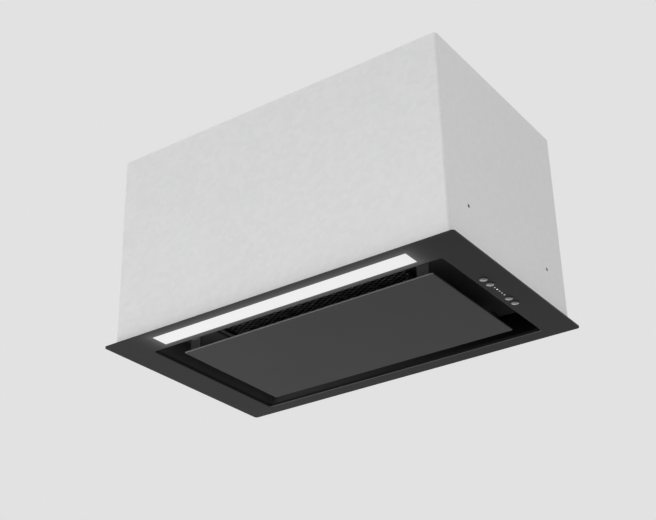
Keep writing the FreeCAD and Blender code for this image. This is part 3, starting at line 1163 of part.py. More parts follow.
def main():
    save("trim_frame", trim_frame())
    save("housing_shell", housing_shell())
    save("suction_panel", panel_skin())
    save("panel_back_plate", panel_back_plate())
    save("panel_hinge_leaves", group([hinge_leaf(x) for x in (-HINGE_X, HINGE_X)]))
    save("hinge_brackets", group([hinge_bracket(x) for x in (-HINGE_X, HINGE_X)]))
    save("hinge_pins", group([hinge_pin(x) for x in (-HINGE_X, HINGE_X)]))
    save("panel_catch_tabs", group([catch_tab(x) for x in (-CATCH_X, CATCH_X)]))
    save("catch_clips", group([catch_clip(x) for x in (-CATCH_X, CATCH_X)]))
    save("intake_plate", intake_plate())
    save("filter_frame", filter_frame())
    save("filter_mesh", filter_mesh())
    save("filter_latch", filter_latch())
    left_half, right_half = both(scroll_half)
    save("scroll_half_left", left_half)
    save("scroll_half_right", right_half)
    left_ring, right_ring = both(inlet_ring)
    save("inlet_ring_left", left_ring)
    save("inlet_ring_right", right_ring)
    save("fan_impeller", impeller())
    save("motor_can", motor_can())
    save("motor_shaft", motor_shaft())
    save("shaft_nut", shaft_nut())
    save("motor_bracket", motor_bracket())
    save("motor_bushes", motor_bushes())
    save("bush_screws", bush_screws())
    save("outlet_adapter", outlet_adapter())
    save("outlet_collar", outlet_collar())
    front_flap, rear_flap = both(flap)
    save("flap_front", front_flap)
    save("flap_rear", rear_flap)
    save("flap_pin", flap_pin())
    save("electronics_box", electronics_box())
    save("electronics_lid", electronics_lid())
    save("lid_screws", lid_screws())
    save("power_board", power_board())
    save("terminal_block", terminal_block())
    save("run_capacitor", run_capacitor())
    save("capacitor_strap", capacitor_strap())
    save("cable_gland", cable_gland())
    save("led_driver", led_driver())
    save("light_diffuser", light_diffuser())
    save("light_channel", light_channel())
    save("led_board", led_board())
    for name, y in zip(("button_light", "button_slower", "button_faster", "button_timer"), BUTTON_YS):
        save(name, push_button(y))
    save("button_carrier", button_carrier())
    save("switch_board", switch_board())
    save("indicator_lens", indicator_lens())
    save("trim_screws", trim_screws())
    save("collar_screws", collar_screws())


main()
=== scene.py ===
"""Recessed ceiling range hood, seen from below: finishes and fine pieces round the fixed model."""
import math

import bpy
import bmesh
from mathutils import Matrix, Vector


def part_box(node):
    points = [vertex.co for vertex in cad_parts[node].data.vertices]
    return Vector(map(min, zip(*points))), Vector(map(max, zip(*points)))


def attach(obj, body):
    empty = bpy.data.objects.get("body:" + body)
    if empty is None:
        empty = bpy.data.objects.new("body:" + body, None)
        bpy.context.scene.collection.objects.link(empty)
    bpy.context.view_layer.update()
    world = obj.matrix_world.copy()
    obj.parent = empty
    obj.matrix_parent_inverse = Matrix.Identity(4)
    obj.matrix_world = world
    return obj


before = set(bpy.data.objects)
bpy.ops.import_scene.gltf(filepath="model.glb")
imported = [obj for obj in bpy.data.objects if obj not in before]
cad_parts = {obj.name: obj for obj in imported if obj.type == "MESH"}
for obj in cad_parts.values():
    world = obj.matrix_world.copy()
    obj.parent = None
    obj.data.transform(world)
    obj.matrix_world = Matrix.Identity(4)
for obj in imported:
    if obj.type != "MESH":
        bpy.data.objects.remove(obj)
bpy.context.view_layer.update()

bl_info = {
    "name": "Recessed Range Hood",
    "version": (1, 0, 0),
    "blender": (4, 5, 0),
    "location": "View3D > Sidebar > Range Hood",
    "description": "Dresses a recessed ceiling range hood: paint, zinc, mesh, screws, light",
    "category": "Object",
}

MM = 0.001
ROOT = "hood"


# ---- shader maths --------------------------------------------------------------------------
class Socket:
    """Output socket with arithmetic, so that a mask reads as a formula."""

    def __init__(self, tree, output):
        self.tree = tree
        self.output = output

    def maths(self, operation, *others, clamp=False):
        node = self.tree.nodes.new("ShaderNodeMath")
        node.operation = operation
        node.use_clamp = clamp
        for slot, value in zip(node.inputs, (self, *others)):
            if isinstance(value, Socket):
                self.tree.links.new(value.output, slot)
            else:
                slot.default_value = value
        return Socket(self.tree, node.outputs[0])

    def __add__(self, other):
        return self.maths("ADD", other)

    def __sub__(self, other):
        return self.maths("SUBTRACT", other)

    def __mul__(self, other):
        return self.maths("MULTIPLY", other)

    def __truediv__(self, other):
        return self.maths("DIVIDE", other)

    def __pow__(self, other):
        return self.maths("POWER", other)

    def __rsub__(self, other):
        return (self * -1.0) + other

    __radd__ = __add__
    __rmul__ = __mul__

    def clamp(self):
        return self.maths("ADD", 0.0, clamp=True)

    def smooth(self, low, high):
        """0 below low, 1 above high, with a soft step between."""
        node = self.tree.nodes.new("ShaderNodeMapRange")
        node.interpolation_type = "SMOOTHSTEP"
        self.tree.links.new(self.output, node.inputs["Value"])
        node.inputs["From Min"].default_value = low
        node.inputs["From Max"].default_value = high
        return Socket(self.tree, node.outputs["Result"])


class Finish:
    """One procedural material: its tree, its coordinates and its main shader."""

    def __init__(self, name):
        self.material = bpy.data.materials.new(name)
        self.material.use_nodes = True
        self.tree = self.material.node_tree
        self.shader = self.tree.nodes["Principled BSDF"]
        self.place = self.node("ShaderNodeTexCoord").outputs["Object"]

    def node(self, kind, settings=None, **values):
        """Add a node; settings go on it first, then its sockets get values or links."""
        node = self.tree.nodes.new(kind)
        for key, value in (settings or {}).items():
            setattr(node, key, value)
        for key, value in values.items():
            self.feed(node.inputs[key.replace("_", " ")], value)
        return node

    def feed(self, slot, value):
        if isinstance(value, Socket):
            self.tree.links.new(value.output, slot)
        elif isinstance(value, bpy.types.NodeSocket):
            self.tree.links.new(value, slot)
        else:
            slot.default_value = value

    def set(self, **values):
        for key, value in values.items():
            self.feed(self.shader.inputs[key.replace("_", " ")], value)

    def axes(self, place=None):
        split = self.node("ShaderNodeSeparateXYZ", Vector=place or self.place)
        return [Socket(self.tree, out) for out in split.outputs]

    def stretched(self, scale):
        """Object coordinates scaled along each axis, for brushed and rolled grain."""
        return self.node("ShaderNodeMapping", Vector=self.place, Scale=scale).outputs["Vector"]

    def noise(self, scale, detail=3.0, rough=0.5, place=None):
        node = self.node("ShaderNodeTexNoise", Vector=place or self.place, Scale=scale,
                         Detail=detail, Roughness=rough)
        return Socket(self.tree, node.outputs["Fac"])

    def cells(self, scale, place=None, feature="F1"):
        node = self.node("ShaderNodeTexVoronoi", {"feature": feature}, Vector=place or self.place,
                         Scale=scale)
        return Socket(self.tree, node.outputs["Distance"])

    def blend(self, factor, first, second, mode="MIX"):
        """Mix two colours; each may be a tuple or a socket."""
        node = self.node("ShaderNodeMix", {"data_type": "RGBA", "blend_type": mode})
        self.feed(node.inputs["Factor"], factor)
        self.feed(node.inputs[6], colour(first))
        self.feed(node.inputs[7], colour(second))
        return node.outputs[2]

    def bump(self, height, strength, distance, under=None):
        node = self.node("ShaderNodeBump", Strength=strength, Distance=distance, Height=height)
        if under is not None:
            self.tree.links.new(under, node.inputs["Normal"])
        return node.outputs["Normal"]


def colour(value):
    """A grey level or an RGB tuple as RGBA; sockets pass through."""
    if isinstance(value, (int, float)):
        return (value, value, value, 1.0)
    if isinstance(value, tuple) and len(value) == 3:
        return (*value, 1.0)
    return value


# ---- finishes ------------------------------------------------------------------------------
def painted_strip_glow(finish, box, reach, level):
    """Painted glow: emission in the paint beside the light strip, standing in for its spill, fading
    with the distance from it.
    """
    x, y, _ = finish.axes()
    low, high = box
    mid_x, mid_y = (low.x + high.x) / 2, (low.y + high.y) / 2
    past_x = (x - mid_x).maths("ABSOLUTE") - (high.x - low.x) / 2
    past_y = (y - mid_y).maths("ABSOLUTE") - (high.y - low.y) / 2
    past_x = past_x.maths("MAXIMUM", 0.0)
    past_y = past_y.maths("MAXIMUM", 0.0)
    away = (past_x * past_x + past_y * past_y).maths("SQRT")
    return (away * (-1.0 / reach)).maths("EXPONENT") * level


def painted_edge_mask(finish, up_to):
    """Painted highlight mask: 1 on bends and edges between the faces that look down and those that
    look to the front.
    """
    _, y, z = finish.axes(finish.node("ShaderNodeTexCoord").outputs["Normal"])
    down = z.smooth(-0.98, -0.80) * (1.0 - z.smooth(up_to - 0.15, up_to))
    return down * (1.0 - y.smooth(-0.45, -0.05))


def powder_coat(name, tone, rough=0.5, sheen=0.012, glow=None, highlight_level=0.0, highlight_up_to=-0.15,
                inner=None):
    """Black powder coat: fine orange peel, a slow drift in tone and in gloss, and paler front edges
    as a painted highlight.

    glow is the reach and level of a painted glow that stands in for the light strip's spill; inner
    is the tone of the painted shade inside the frame, lighter at the left as painted light and black
    at the right."""
    finish = Finish(name)
    drift = finish.noise(7.0, 4.0)
    speck = finish.noise(900.0, 2.0)
    shade = drift * (sheen * 0.5) + speck * (sheen * 0.16) + (tone - sheen * 0.33)
    # painted highlight: paler paint on the bends that face down and to the front
    if highlight_level:
        shade = shade + painted_edge_mask(finish, highlight_up_to) * highlight_level
    if inner is not None:
        # painted shade inside the frame: everything a few millimetres above the face goes black at
        # the right and lighter at the left, as painted light from the left
        x, _, z = finish.axes()
        shaded_wall_mask = z.smooth(1 * MM, 4 * MM)
        shade = shade * (1.0 - shaded_wall_mask) + shaded_wall_mask * (1.0 - x.smooth(-0.2, 0.2)) * inner
    grey = finish.node("ShaderNodeCombineColor", Red=shade, Green=shade, Blue=shade * 1.02)
    finish.set(Base_Color=grey.outputs[0], Roughness=drift * 0.12 + speck * 0.06 + (rough - 0.09),
               Specular_IOR_Level=0.3)
    peel = finish.noise(1500.0, 2.0, 0.45)
    finish.set(Normal=finish.bump(peel, 0.12, 0.00012))
    # painted glow: emission in the paint stands in for the light strip's spill
    if glow is not None:
        painted_glow = painted_strip_glow(finish, LIGHT_WINDOW, *glow)
        lit = finish.node("ShaderNodeCombineColor", Red=painted_glow, Green=painted_glow, Blue=painted_glow)
        finish.set(Emission_Color=lit.outputs[0], Emission_Strength=1.0)
    return finish.material


def zinc_sheet(name, tone, spangle=150.0, contrast=0.035, metallic=0.12, rough=0.5):
    """Zinc-coated sheet: fine crystals of slightly different grey under a soft rolled grain."""
    finish = Finish(name)
    cells = finish.node("ShaderNodeTexVoronoi", Vector=finish.place, Scale=spangle)
    crystal = Socket(finish.tree, finish.node("ShaderNodeSeparateColor",
                                              Color=cells.outputs["Color"]).outputs[0])
    cloud = finish.noise(6.0, 4.0)
    grain = finish.noise(420.0, 2.0, place=finish.stretched((0.06, 1.0, 1.0)))
    shade = crystal * contrast + cloud * contrast + grain * (contrast * 0.5)
    shade = shade + (tone - contrast * 1.25)
    grey = finish.node("ShaderNodeCombineColor", Red=shade, Green=shade, Blue=shade * 1.004)
    finish.set(Base_Color=grey.outputs[0], Metallic=metallic,
               Roughness=crystal * 0.10 + grain * 0.08 + (rough - 0.09))
    finish.set(Normal=finish.bump(grain, 0.06, 0.0002))
    return finish.material


def plated_steel(name, tone=0.55, rough=0.34, grain_axis=(0.05, 1.0, 1.0)):
    """Zinc-plated or ground steel: metallic, with a fine directional grain and dull patches."""
    finish = Finish(name)
    grain = finish.noise(2600.0, 3.0, place=finish.stretched(grain_axis))
    patch = finish.noise(60.0, 4.0)
    shade = grain * 0.10 + patch * 0.12 + (tone - 0.11)
    tint = finish.node("ShaderNodeCombineColor", Red=shade, Green=shade, Blue=shade * 1.02)
    finish.set(Base_Color=tint.outputs[0], Metallic=1.0,
               Roughness=patch * 0.16 + grain * 0.10 + (rough - 0.13))
    finish.set(Normal=finish.bump(grain, 0.10, 0.0001))
    return finish.material


def moulding(name, tone, rough=0.48, grain=1300.0, tint=(1.0, 1.0, 1.0), depth=0.20):
    """Spark-eroded plastic: a leathery micro grain and faint flow marks."""
    finish = Finish(name)
    flow = finish.noise(14.0, 3.0)
    pits = finish.cells(grain)
    shade = flow * (tone * 0.25) + pits * (tone * 0.12) + tone * 0.82
    mixed = finish.node("ShaderNodeCombineColor", Red=shade * tint[0], Green=shade * tint[1],
                        Blue=shade * tint[2])
    finish.set(Base_Color=mixed.outputs[0], Roughness=flow * 0.12 + pits * 0.08 + (rough - 0.1))
    finish.set(Normal=finish.bump(pits, depth, 0.00015))
    return finish.material


def rubber(name, tone=0.025):
    finish = Finish(name)
    bloom = finish.noise(220.0, 4.0)
    shade = bloom * 0.02 + tone
    grey = finish.node("ShaderNodeCombineColor", Red=shade, Green=shade, Blue=shade)
    finish.set(Base_Color=grey.outputs[0], Roughness=bloom * 0.2 + 0.62)
    finish.set(Normal=finish.bump(bloom, 0.2, 0.0002))
    return finish.material


def coated_board(name):
    """Green coated circuit board: copper tracks under the coat, on a square grid."""
    finish = Finish(name)
    x, y, _ = finish.axes()
    lanes = (x * 620.0).maths("SINE").smooth(0.55, 0.8)
    crossing = (y * 540.0).maths("SINE").smooth(0.6, 0.85)
    patches = finish.noise(60.0, 1.0).smooth(0.48, 0.52)
    track = lanes.maths("MAXIMUM", crossing) * patches
    tone = finish.blend(track, (0.012, 0.085, 0.035), (0.03, 0.17, 0.07))
    finish.set(Base_Color=tone, Roughness=track * -0.08 + 0.36)
    finish.set(Normal=finish.bump(track, 0.25, 0.0001))
    return finish.material


def opal_light(name, level, fade_x):
    """Opal strip lit from behind: even, with a slight fall towards its ends."""
    finish = Finish(name)
    x, _, _ = finish.axes()
    ends = x.maths("ABSOLUTE").smooth(fade_x * 0.9, fade_x * 1.02)
    grain = finish.noise(700.0, 2.0)
    glow = (1.0 - ends * 0.05) * (grain * 0.04 + (level - 0.02))
    white = finish.node("ShaderNodeCombineColor", Red=glow, Green=glow, Blue=glow)
    finish.set(Base_Color=colour(0.2), Roughness=grain * 0.1 + 0.3,
               Emission_Color=white.outputs[0], Emission_Strength=1.0)
    return finish.material


def turned_metal(name, centre_ys, centre_x):
    """Satin caps: fine rings round each button's own axis, darker on the rim and the skirt."""
    finish = Finish(name)
    x, y, _ = finish.axes()
    nearest = None
    for centre in centre_ys:
        away = ((x - centre_x) ** 2.0 + (y - centre) ** 2.0).maths("SQRT")
        nearest = away if nearest is None else nearest.maths("MINIMUM", away)
    rings = (nearest * 9000.0).maths("SINE") * 0.5 + 0.5
    smudge = finish.noise(300.0, 3.0)
    rim = nearest.smooth(3.4 * MM, 4.6 * MM)
    shade = rings * 0.05 + smudge * 0.10 + rim * -0.42 + 0.64
    grey = finish.node("ShaderNodeCombineColor", Red=shade, Green=shade, Blue=shade * 1.01)
    finish.set(Base_Color=grey.outputs[0], Metallic=1.0, Roughness=smudge * 0.1 + rings * 0.05 + 0.2)
    finish.set(Normal=finish.bump(rings, 0.05, 0.00005))
    return finish.material


def indicator_dots(name, ys, lit):
    """Clear light pipes: every dot glows a little and one of them is on."""
    finish = Finish(name)
    _, y, _ = finish.axes()
    on = (y - ys[lit]).maths("ABSOLUTE").smooth(1.2 * MM, 2.2 * MM)
    glow = (1.0 - on) * 0.55 + 0.30
    haze = finish.noise(1200.0, 2.0)
    glow = glow * (haze * 0.1 + 0.95)
    white = finish.node("ShaderNodeCombineColor", Red=glow, Green=glow, Blue=glow)
    finish.set(Base_Color=colour(0.4), Roughness=haze * 0.1 + 0.25,
               Emission_Color=white.outputs[0], Emission_Strength=1.0)
    return finish.material


# ---- sizes and places from the fixed model -------------------------------------------------
LIGHT_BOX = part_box("light_diffuser")
LIGHT_LIP = 1.5 * MM                # diffuser's hidden lip beyond the slot, at each end
LIGHT_LIP_Y = 0.8 * MM
LIGHT_WINDOW = (LIGHT_BOX[0] + Vector((LIGHT_LIP, LIGHT_LIP_Y, 0)),
                LIGHT_BOX[1] - Vector((LIGHT_LIP, LIGHT_LIP_Y, 0)))
BUTTONS = ("button_light", "button_slower", "button_faster", "button_timer")
BUTTON_CENTRES = [(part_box(node)[0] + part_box(node)[1]) / 2 for node in BUTTONS]
DOT_COUNT = 5
DOT_PITCH = 6.1 * MM
DOT_LIT = 1
HOUSING_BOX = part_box("housing_shell")
COLLAR_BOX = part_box("outlet_collar")
FILTER_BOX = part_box("filter_frame")
COLLAR_MID = (COLLAR_BOX[0] + COLLAR_BOX[1]) / 2

# ---- real sizes of the fine pieces ---------------------------------------------------------
# laps of the side walls, turned over the back sheet, and their rivets
LAP_W = 14 * MM
LAP_T = 0.8 * MM
LAP_INSET = 3.5 * MM
LAP_FOOT = 2 * MM
LAP_RIVETS = 6
RIVET_R = 2.0 * MM
RIVET_H = 0.9 * MM
# beads pressed into the roof, and the collar's gasket and fillet
BEAD_W = 6 * MM
BEAD_H = 1.2 * MM
BEAD_END = 60 * MM
BEAD_INSET = 12 * MM
GASKET_R = 1.6 * MM
GASKET_SQUASH = 0.4
COLLAR_FOOT = 2.5 * MM
COLLAR_R = 74.5 * MM
FILLET_R = 0.9 * MM
# lips round the flaps; the start is the angle left free beside the pin, in degrees
FLAP_R = 71.2 * MM
LIP_W = 3.0 * MM
LIP_H = 0.8 * MM
LIP_START = 17.0
LIP_STEPS = 40
# ribs on the gland's nut
GLAND_RIBS = 20
GLAND_R = 9.0 * MM
GLAND_RIB_R = 0.55 * MM
GLAND_RIB_L = 5.5 * MM
# filter: strands of expanded metal above its lower face, and the dark felt under its rim, which is
# also painted shade for the slot round the filter
FILTER_RIM = 11 * MM
STRAND_TUCK = 2 * MM                # how far the strands run under the rim, at each end
STRAND_TUCK_Y = 0.9 * MM
STRAND_Z = 2.45 * MM
CELL_LONG = 13 * MM
CELL_SHORT = 7 * MM
STRAND = 0.9 * MM
STRAND_LEAN = math.radians(3.0)
SEAL_SHADE_W = 4.5 * MM
SEAL_SHADE_T = 0.35 * MM
# screws under the intake plate, on top of the collar's flange, and rivets in the hinge leaves
COLLAR_TOP = 34 * MM
SCREW_X = 198 * MM
SCREW_YS = (-92 * MM, 14 * MM, 120 * MM)
SCREW_R = 3.6 * MM
SCREW_H = 1.8 * MM
SCREW_CROSS = {"Long": SCREW_R * 1.1, "Wide": SCREW_R * 0.26, "Deep": 0.25 * MM}
HEAD_R = 3.4 * MM
HEAD_CROSS = {"Long": HEAD_R * 1.2, "Wide": HEAD_R * 0.28, "Deep": 0.2 * MM}
LEAF_W = 16 * MM
LEAF_T = 1.6 * MM
LEAF_RIVET_YS = (4 * MM, 10 * MM)
LEAF_RIVET = (1.8 * MM, 1.8 * MM, 0.8 * MM)


def dot_ys():
    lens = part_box("indicator_lens")
    mid = (lens[0].y + lens[1].y) / 2
    return [mid + DOT_PITCH * (i - (DOT_COUNT - 1) / 2) for i in range(DOT_COUNT)]


# ---- settings ------------------------------------------------------------------------------
class HoodPaint(bpy.types.PropertyGroup):
    """Colours and gloss of the hood's finishes."""
    trim_tone: bpy.props.FloatProperty(
        name="Trim tone", description="Linear grey of the trim's black powder coat",
        default=0.018, min=0.0, max=1.0)
    panel_tone: bpy.props.FloatProperty(
        name="Panel tone", description="Linear grey of the suction panel's powder coat",
        default=0.044, min=0.0, max=1.0)
    paint_rough: bpy.props.FloatProperty(
        name="Paint roughness", description="Roughness of the powder coat", default=0.50,
        min=0.0, max=1.0)
    housing_tone: bpy.props.FloatProperty(
        name="Housing tone", description="Linear grey of the zinc-coated housing", default=0.80,
        min=0.0, max=1.0)
    light_level: bpy.props.FloatProperty(
        name="Light level", description="Brightness of the light strip, 1 is white", default=0.68,
        min=0.0, max=2.0)


class HoodView(bpy.types.PropertyGroup):
    """Camera, backdrop and floor."""
    camera_x: bpy.props.FloatProperty(
        name="Camera X", description="Camera's place, towards the buttons", default=0.8465,
        unit="LENGTH")
    camera_y: bpy.props.FloatProperty(
        name="Camera Y", description="Camera's place, away from the front", default=-1.2621,
        unit="LENGTH")
    camera_z: bpy.props.FloatProperty(
        name="Camera Z", description="Camera's height against the ceiling plane",
        default=-0.6854, unit="LENGTH")
    azimuth: bpy.props.FloatProperty(
        name="Azimuth", description="Turn of the line of sight about the vertical",
        default=math.radians(34.354), subtype="ANGLE")
    tilt: bpy.props.FloatProperty(
        name="Tilt", description="Rise of the line of sight", default=math.radians(27.665),
        subtype="ANGLE")
    roll: bpy.props.FloatProperty(
        name="Roll", description="Turn about the line of sight", default=math.radians(-1.317),
        subtype="ANGLE")
    lens: bpy.props.FloatProperty(
        name="Lens", description="Focal length in millimetres", default=71.30, min=1.0)
    backdrop: bpy.props.FloatProperty(
        name="Backdrop", description="Linear grey seen behind the hood", default=0.76, min=0.0,
        max=1.0)
    floor_drop: bpy.props.FloatProperty(
        name="Floor drop", description="Floor below the ceiling plane", default=3.0,
        unit="LENGTH")


# ---- small makers --------------------------------------------------------------------------
def piece(name, mesh, material, body=None):
    """Link a mesh as a piece with its finish; it rides on a body when one is given."""
    made = bpy.data.objects.new(name, mesh)
    bpy.context.scene.collection.objects.link(made)
    mesh.materials.clear()
    mesh.materials.append(material)
    if body is not None:
        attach(made, body)
    return made


def from_bmesh(name, work):
    mesh = bpy.data.meshes.new(name)
    bmesh.ops.recalc_face_normals(work, faces=work.faces)
    work.to_mesh(mesh)
    work.free()
    return mesh


def dress(nodes, material):
    """Give nodes of the fixed model their finish."""
    for node in nodes:
        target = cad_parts[node]
        if not target.material_slots:
            target.data.materials.append(material)
        for holder in target.material_slots:
            holder.material = material


# ---- repeated forms ------------------------------------------------------------------------
class Grower:
    """Geometry tree that sets one form on every point it is given, as real geometry."""

    def __init__(self, name, **sizes):
        self.tree = bpy.data.node_groups.new(name, "GeometryNodeTree")
        self.keys = {}
        self.socket("Geometry", "NodeSocketGeometry", None)
        for key, default in sizes.items():
            vector = isinstance(default, tuple)
            self.socket(key, "NodeSocketVector" if vector else "NodeSocketFloat", default)
        self.socket("Material", "NodeSocketMaterial", None)
        self.tree.interface.new_socket("Geometry", in_out="OUTPUT",
                                       socket_type="NodeSocketGeometry")
        self.given = self.tree.nodes.new("NodeGroupInput").outputs

    def socket(self, key, kind, default):
        made = self.tree.interface.new_socket(key, in_out="INPUT", socket_type=kind)
        if default is not None:
            made.default_value = default
        self.keys[key] = made.identifier

    def node(self, kind, settings=None, **values):
        node = self.tree.nodes.new(kind)
        for key, value in (settings or {}).items():
            setattr(node, key, value)
        for key, value in values.items():
            slot = node.inputs[key.replace("_", " ")]
            if isinstance(value, Socket):
                self.tree.links.new(value.output, slot)
            elif isinstance(value, bpy.types.NodeSocket):
                self.tree.links.new(value, slot)
            else:
                slot.default_value = value
        return node.outputs[0]

    def join(self, *parts):
        node = self.tree.nodes.new("GeometryNodeJoinGeometry")
        for part in parts:
            self.tree.links.new(part, node.inputs[0])
        return node.outputs[0]

    def finish(self, form, points=None, scale=(1.0, 1.0, 1.0)):
        placed = self.node("GeometryNodeInstanceOnPoints",
                           Points=points or self.given["Geometry"], Instance=form, Scale=scale)
        real = self.node("GeometryNodeRealizeInstances", Geometry=placed)
        dressed = self.node("GeometryNodeSetMaterial", Geometry=real,
                            Material=self.given["Material"])
        out = self.tree.nodes.new("NodeGroupOutput")
        self.tree.links.new(dressed, out.inputs[0])


def head_grower():
    """Domed heads: a ball squashed along one axis, half sunk in the sheet."""
    grower = Grower("heads", Size=(1.0, 1.0, 1.0))
    ball = grower.node("GeometryNodeMeshUVSphere", Segments=16, Rings=8, Radius=1.0)
    grower.finish(ball, scale=grower.given["Size"])
    return grower


def cross_grower():
    """Cross recess of a screw: two crossed bars."""
    grower = Grower("crosses", Long=1.0, Wide=1.0, Deep=1.0)
    given = grower.given
    bars = []
    for x, y in (("Long", "Wide"), ("Wide", "Long")):
        size = grower.node("ShaderNodeCombineXYZ", X=given[x], Y=given[y], Z=given["Deep"])
        bars.append(grower.node("GeometryNodeMeshCube", Size=size))
    grower.finish(grower.join(*bars))
    return grower


def ring_grower():
    """Round bead bent to a circle, flattened by its squash."""
    grower = Grower("rings", Radius=1.0, Bead=1.0, Squash=1.0)
    given = grower.given
    circle = grower.node("GeometryNodeCurvePrimitiveCircle", Resolution=96, Radius=given["Radius"])
    profile = grower.node("GeometryNodeCurvePrimitiveCircle", Resolution=10, Radius=given["Bead"])
    bead = grower.node("GeometryNodeCurveToMesh", Curve=circle, Profile_Curve=profile)
    flat = grower.node("ShaderNodeCombineXYZ", X=1.0, Y=1.0, Z=given["Squash"])
    grower.finish(grower.node("GeometryNodeTransform", Geometry=bead, Scale=flat))
    return grower


def mesh_grower():
    """Expanded metal: leaning diamond strands on two grids, each set between the other's."""
    grower = Grower("expanded_metal", Width=1.0, Depth=1.0, Long=1.0, Short=1.0, Strand=1.0,
                    Lean=(0.0, 0.0, 0.0))
    given = grower.given
    width, depth = Socket(grower.tree, given["Width"]), Socket(grower.tree, given["Depth"])
    long_way, short_way = Socket(grower.tree, given["Long"]), Socket(grower.tree, given["Short"])
    columns, rows = (width / long_way).maths("FLOOR"), (depth / short_way).maths("FLOOR")
    grids = []
    for fewer in (0.0, 1.0):
        across, along = columns - fewer, rows - fewer
        grids.append(grower.node("GeometryNodeMeshGrid", Size_X=long_way * across,
                                 Size_Y=short_way * along, Vertices_X=across + 1.0,
                                 Vertices_Y=along + 1.0))
    half = short_way * 0.5
    diamond = grower.node("GeometryNodeCurvePrimitiveQuadrilateral", {"mode": "KITE"},
                          Width=long_way, Bottom_Height=half, Top_Height=half)
    strand = Socket(grower.tree, given["Strand"])
    profile = grower.node("GeometryNodeCurvePrimitiveQuadrilateral", {"mode": "RECTANGLE"},
                          Width=strand, Height=strand * 0.5)
    loop = grower.node("GeometryNodeCurveToMesh", Curve=diamond, Profile_Curve=profile)
    leaning = grower.node("GeometryNodeTransform", Geometry=loop, Rotation=given["Lean"])
    place = grower.node("GeometryNodeInstanceOnPoints", Points=grower.join(*grids),
                        Instance=leaning)
    grower.finish(grower.node("GeometryNodeRealizeInstances", Geometry=place))
    return grower


def points(places):
    mesh = bpy.data.meshes.new("places")
    mesh.from_pydata([tuple(place) for place in places], [], [])
    return mesh


def grow(name, grower, places, material, body, slot=None, **values):
    """Grow a tree's form at the places and keep the result as one plain mesh."""
    seed = points(places)
    made = bpy.data.objects.new(name, seed)
    bpy.context.scene.collection.objects.link(made)
    modifier = made.modifiers.new(name, "NODES")
    modifier.node_group = grower.tree
    for key, value in {**values, "Material": material}.items():
        modifier[grower.keys[key]] = value
    bpy.context.view_layer.update()
    shape = made.evaluated_get(bpy.context.evaluated_depsgraph_get())
    made.data = bpy.data.meshes.new_from_object(shape)
    made.data.name = name
    made.modifiers.clear()
    bpy.data.meshes.remove(seed)
    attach(made, body)
    return made


def bars(name, boxes, material, body, slot=None, soften=0.3 * MM):
    """Plain strips with softened edges, one box each."""
    work = bmesh.new()
    for low, high in boxes:
        made = bmesh.ops.create_cube(work, size=1.0)["verts"]
        size = [b - a for a, b in zip(low, high)]
        bmesh.ops.scale(work, verts=made, vec=size)
        bmesh.ops.translate(work, verts=made, vec=[(a + b) / 2 for a, b in zip(low, high)])
    bmesh.ops.bevel(work, geom=work.edges[:], offset=soften, segments=2, profile=0.5,
                    affect="EDGES")
    return piece(name, from_bmesh(name, work), material, body)


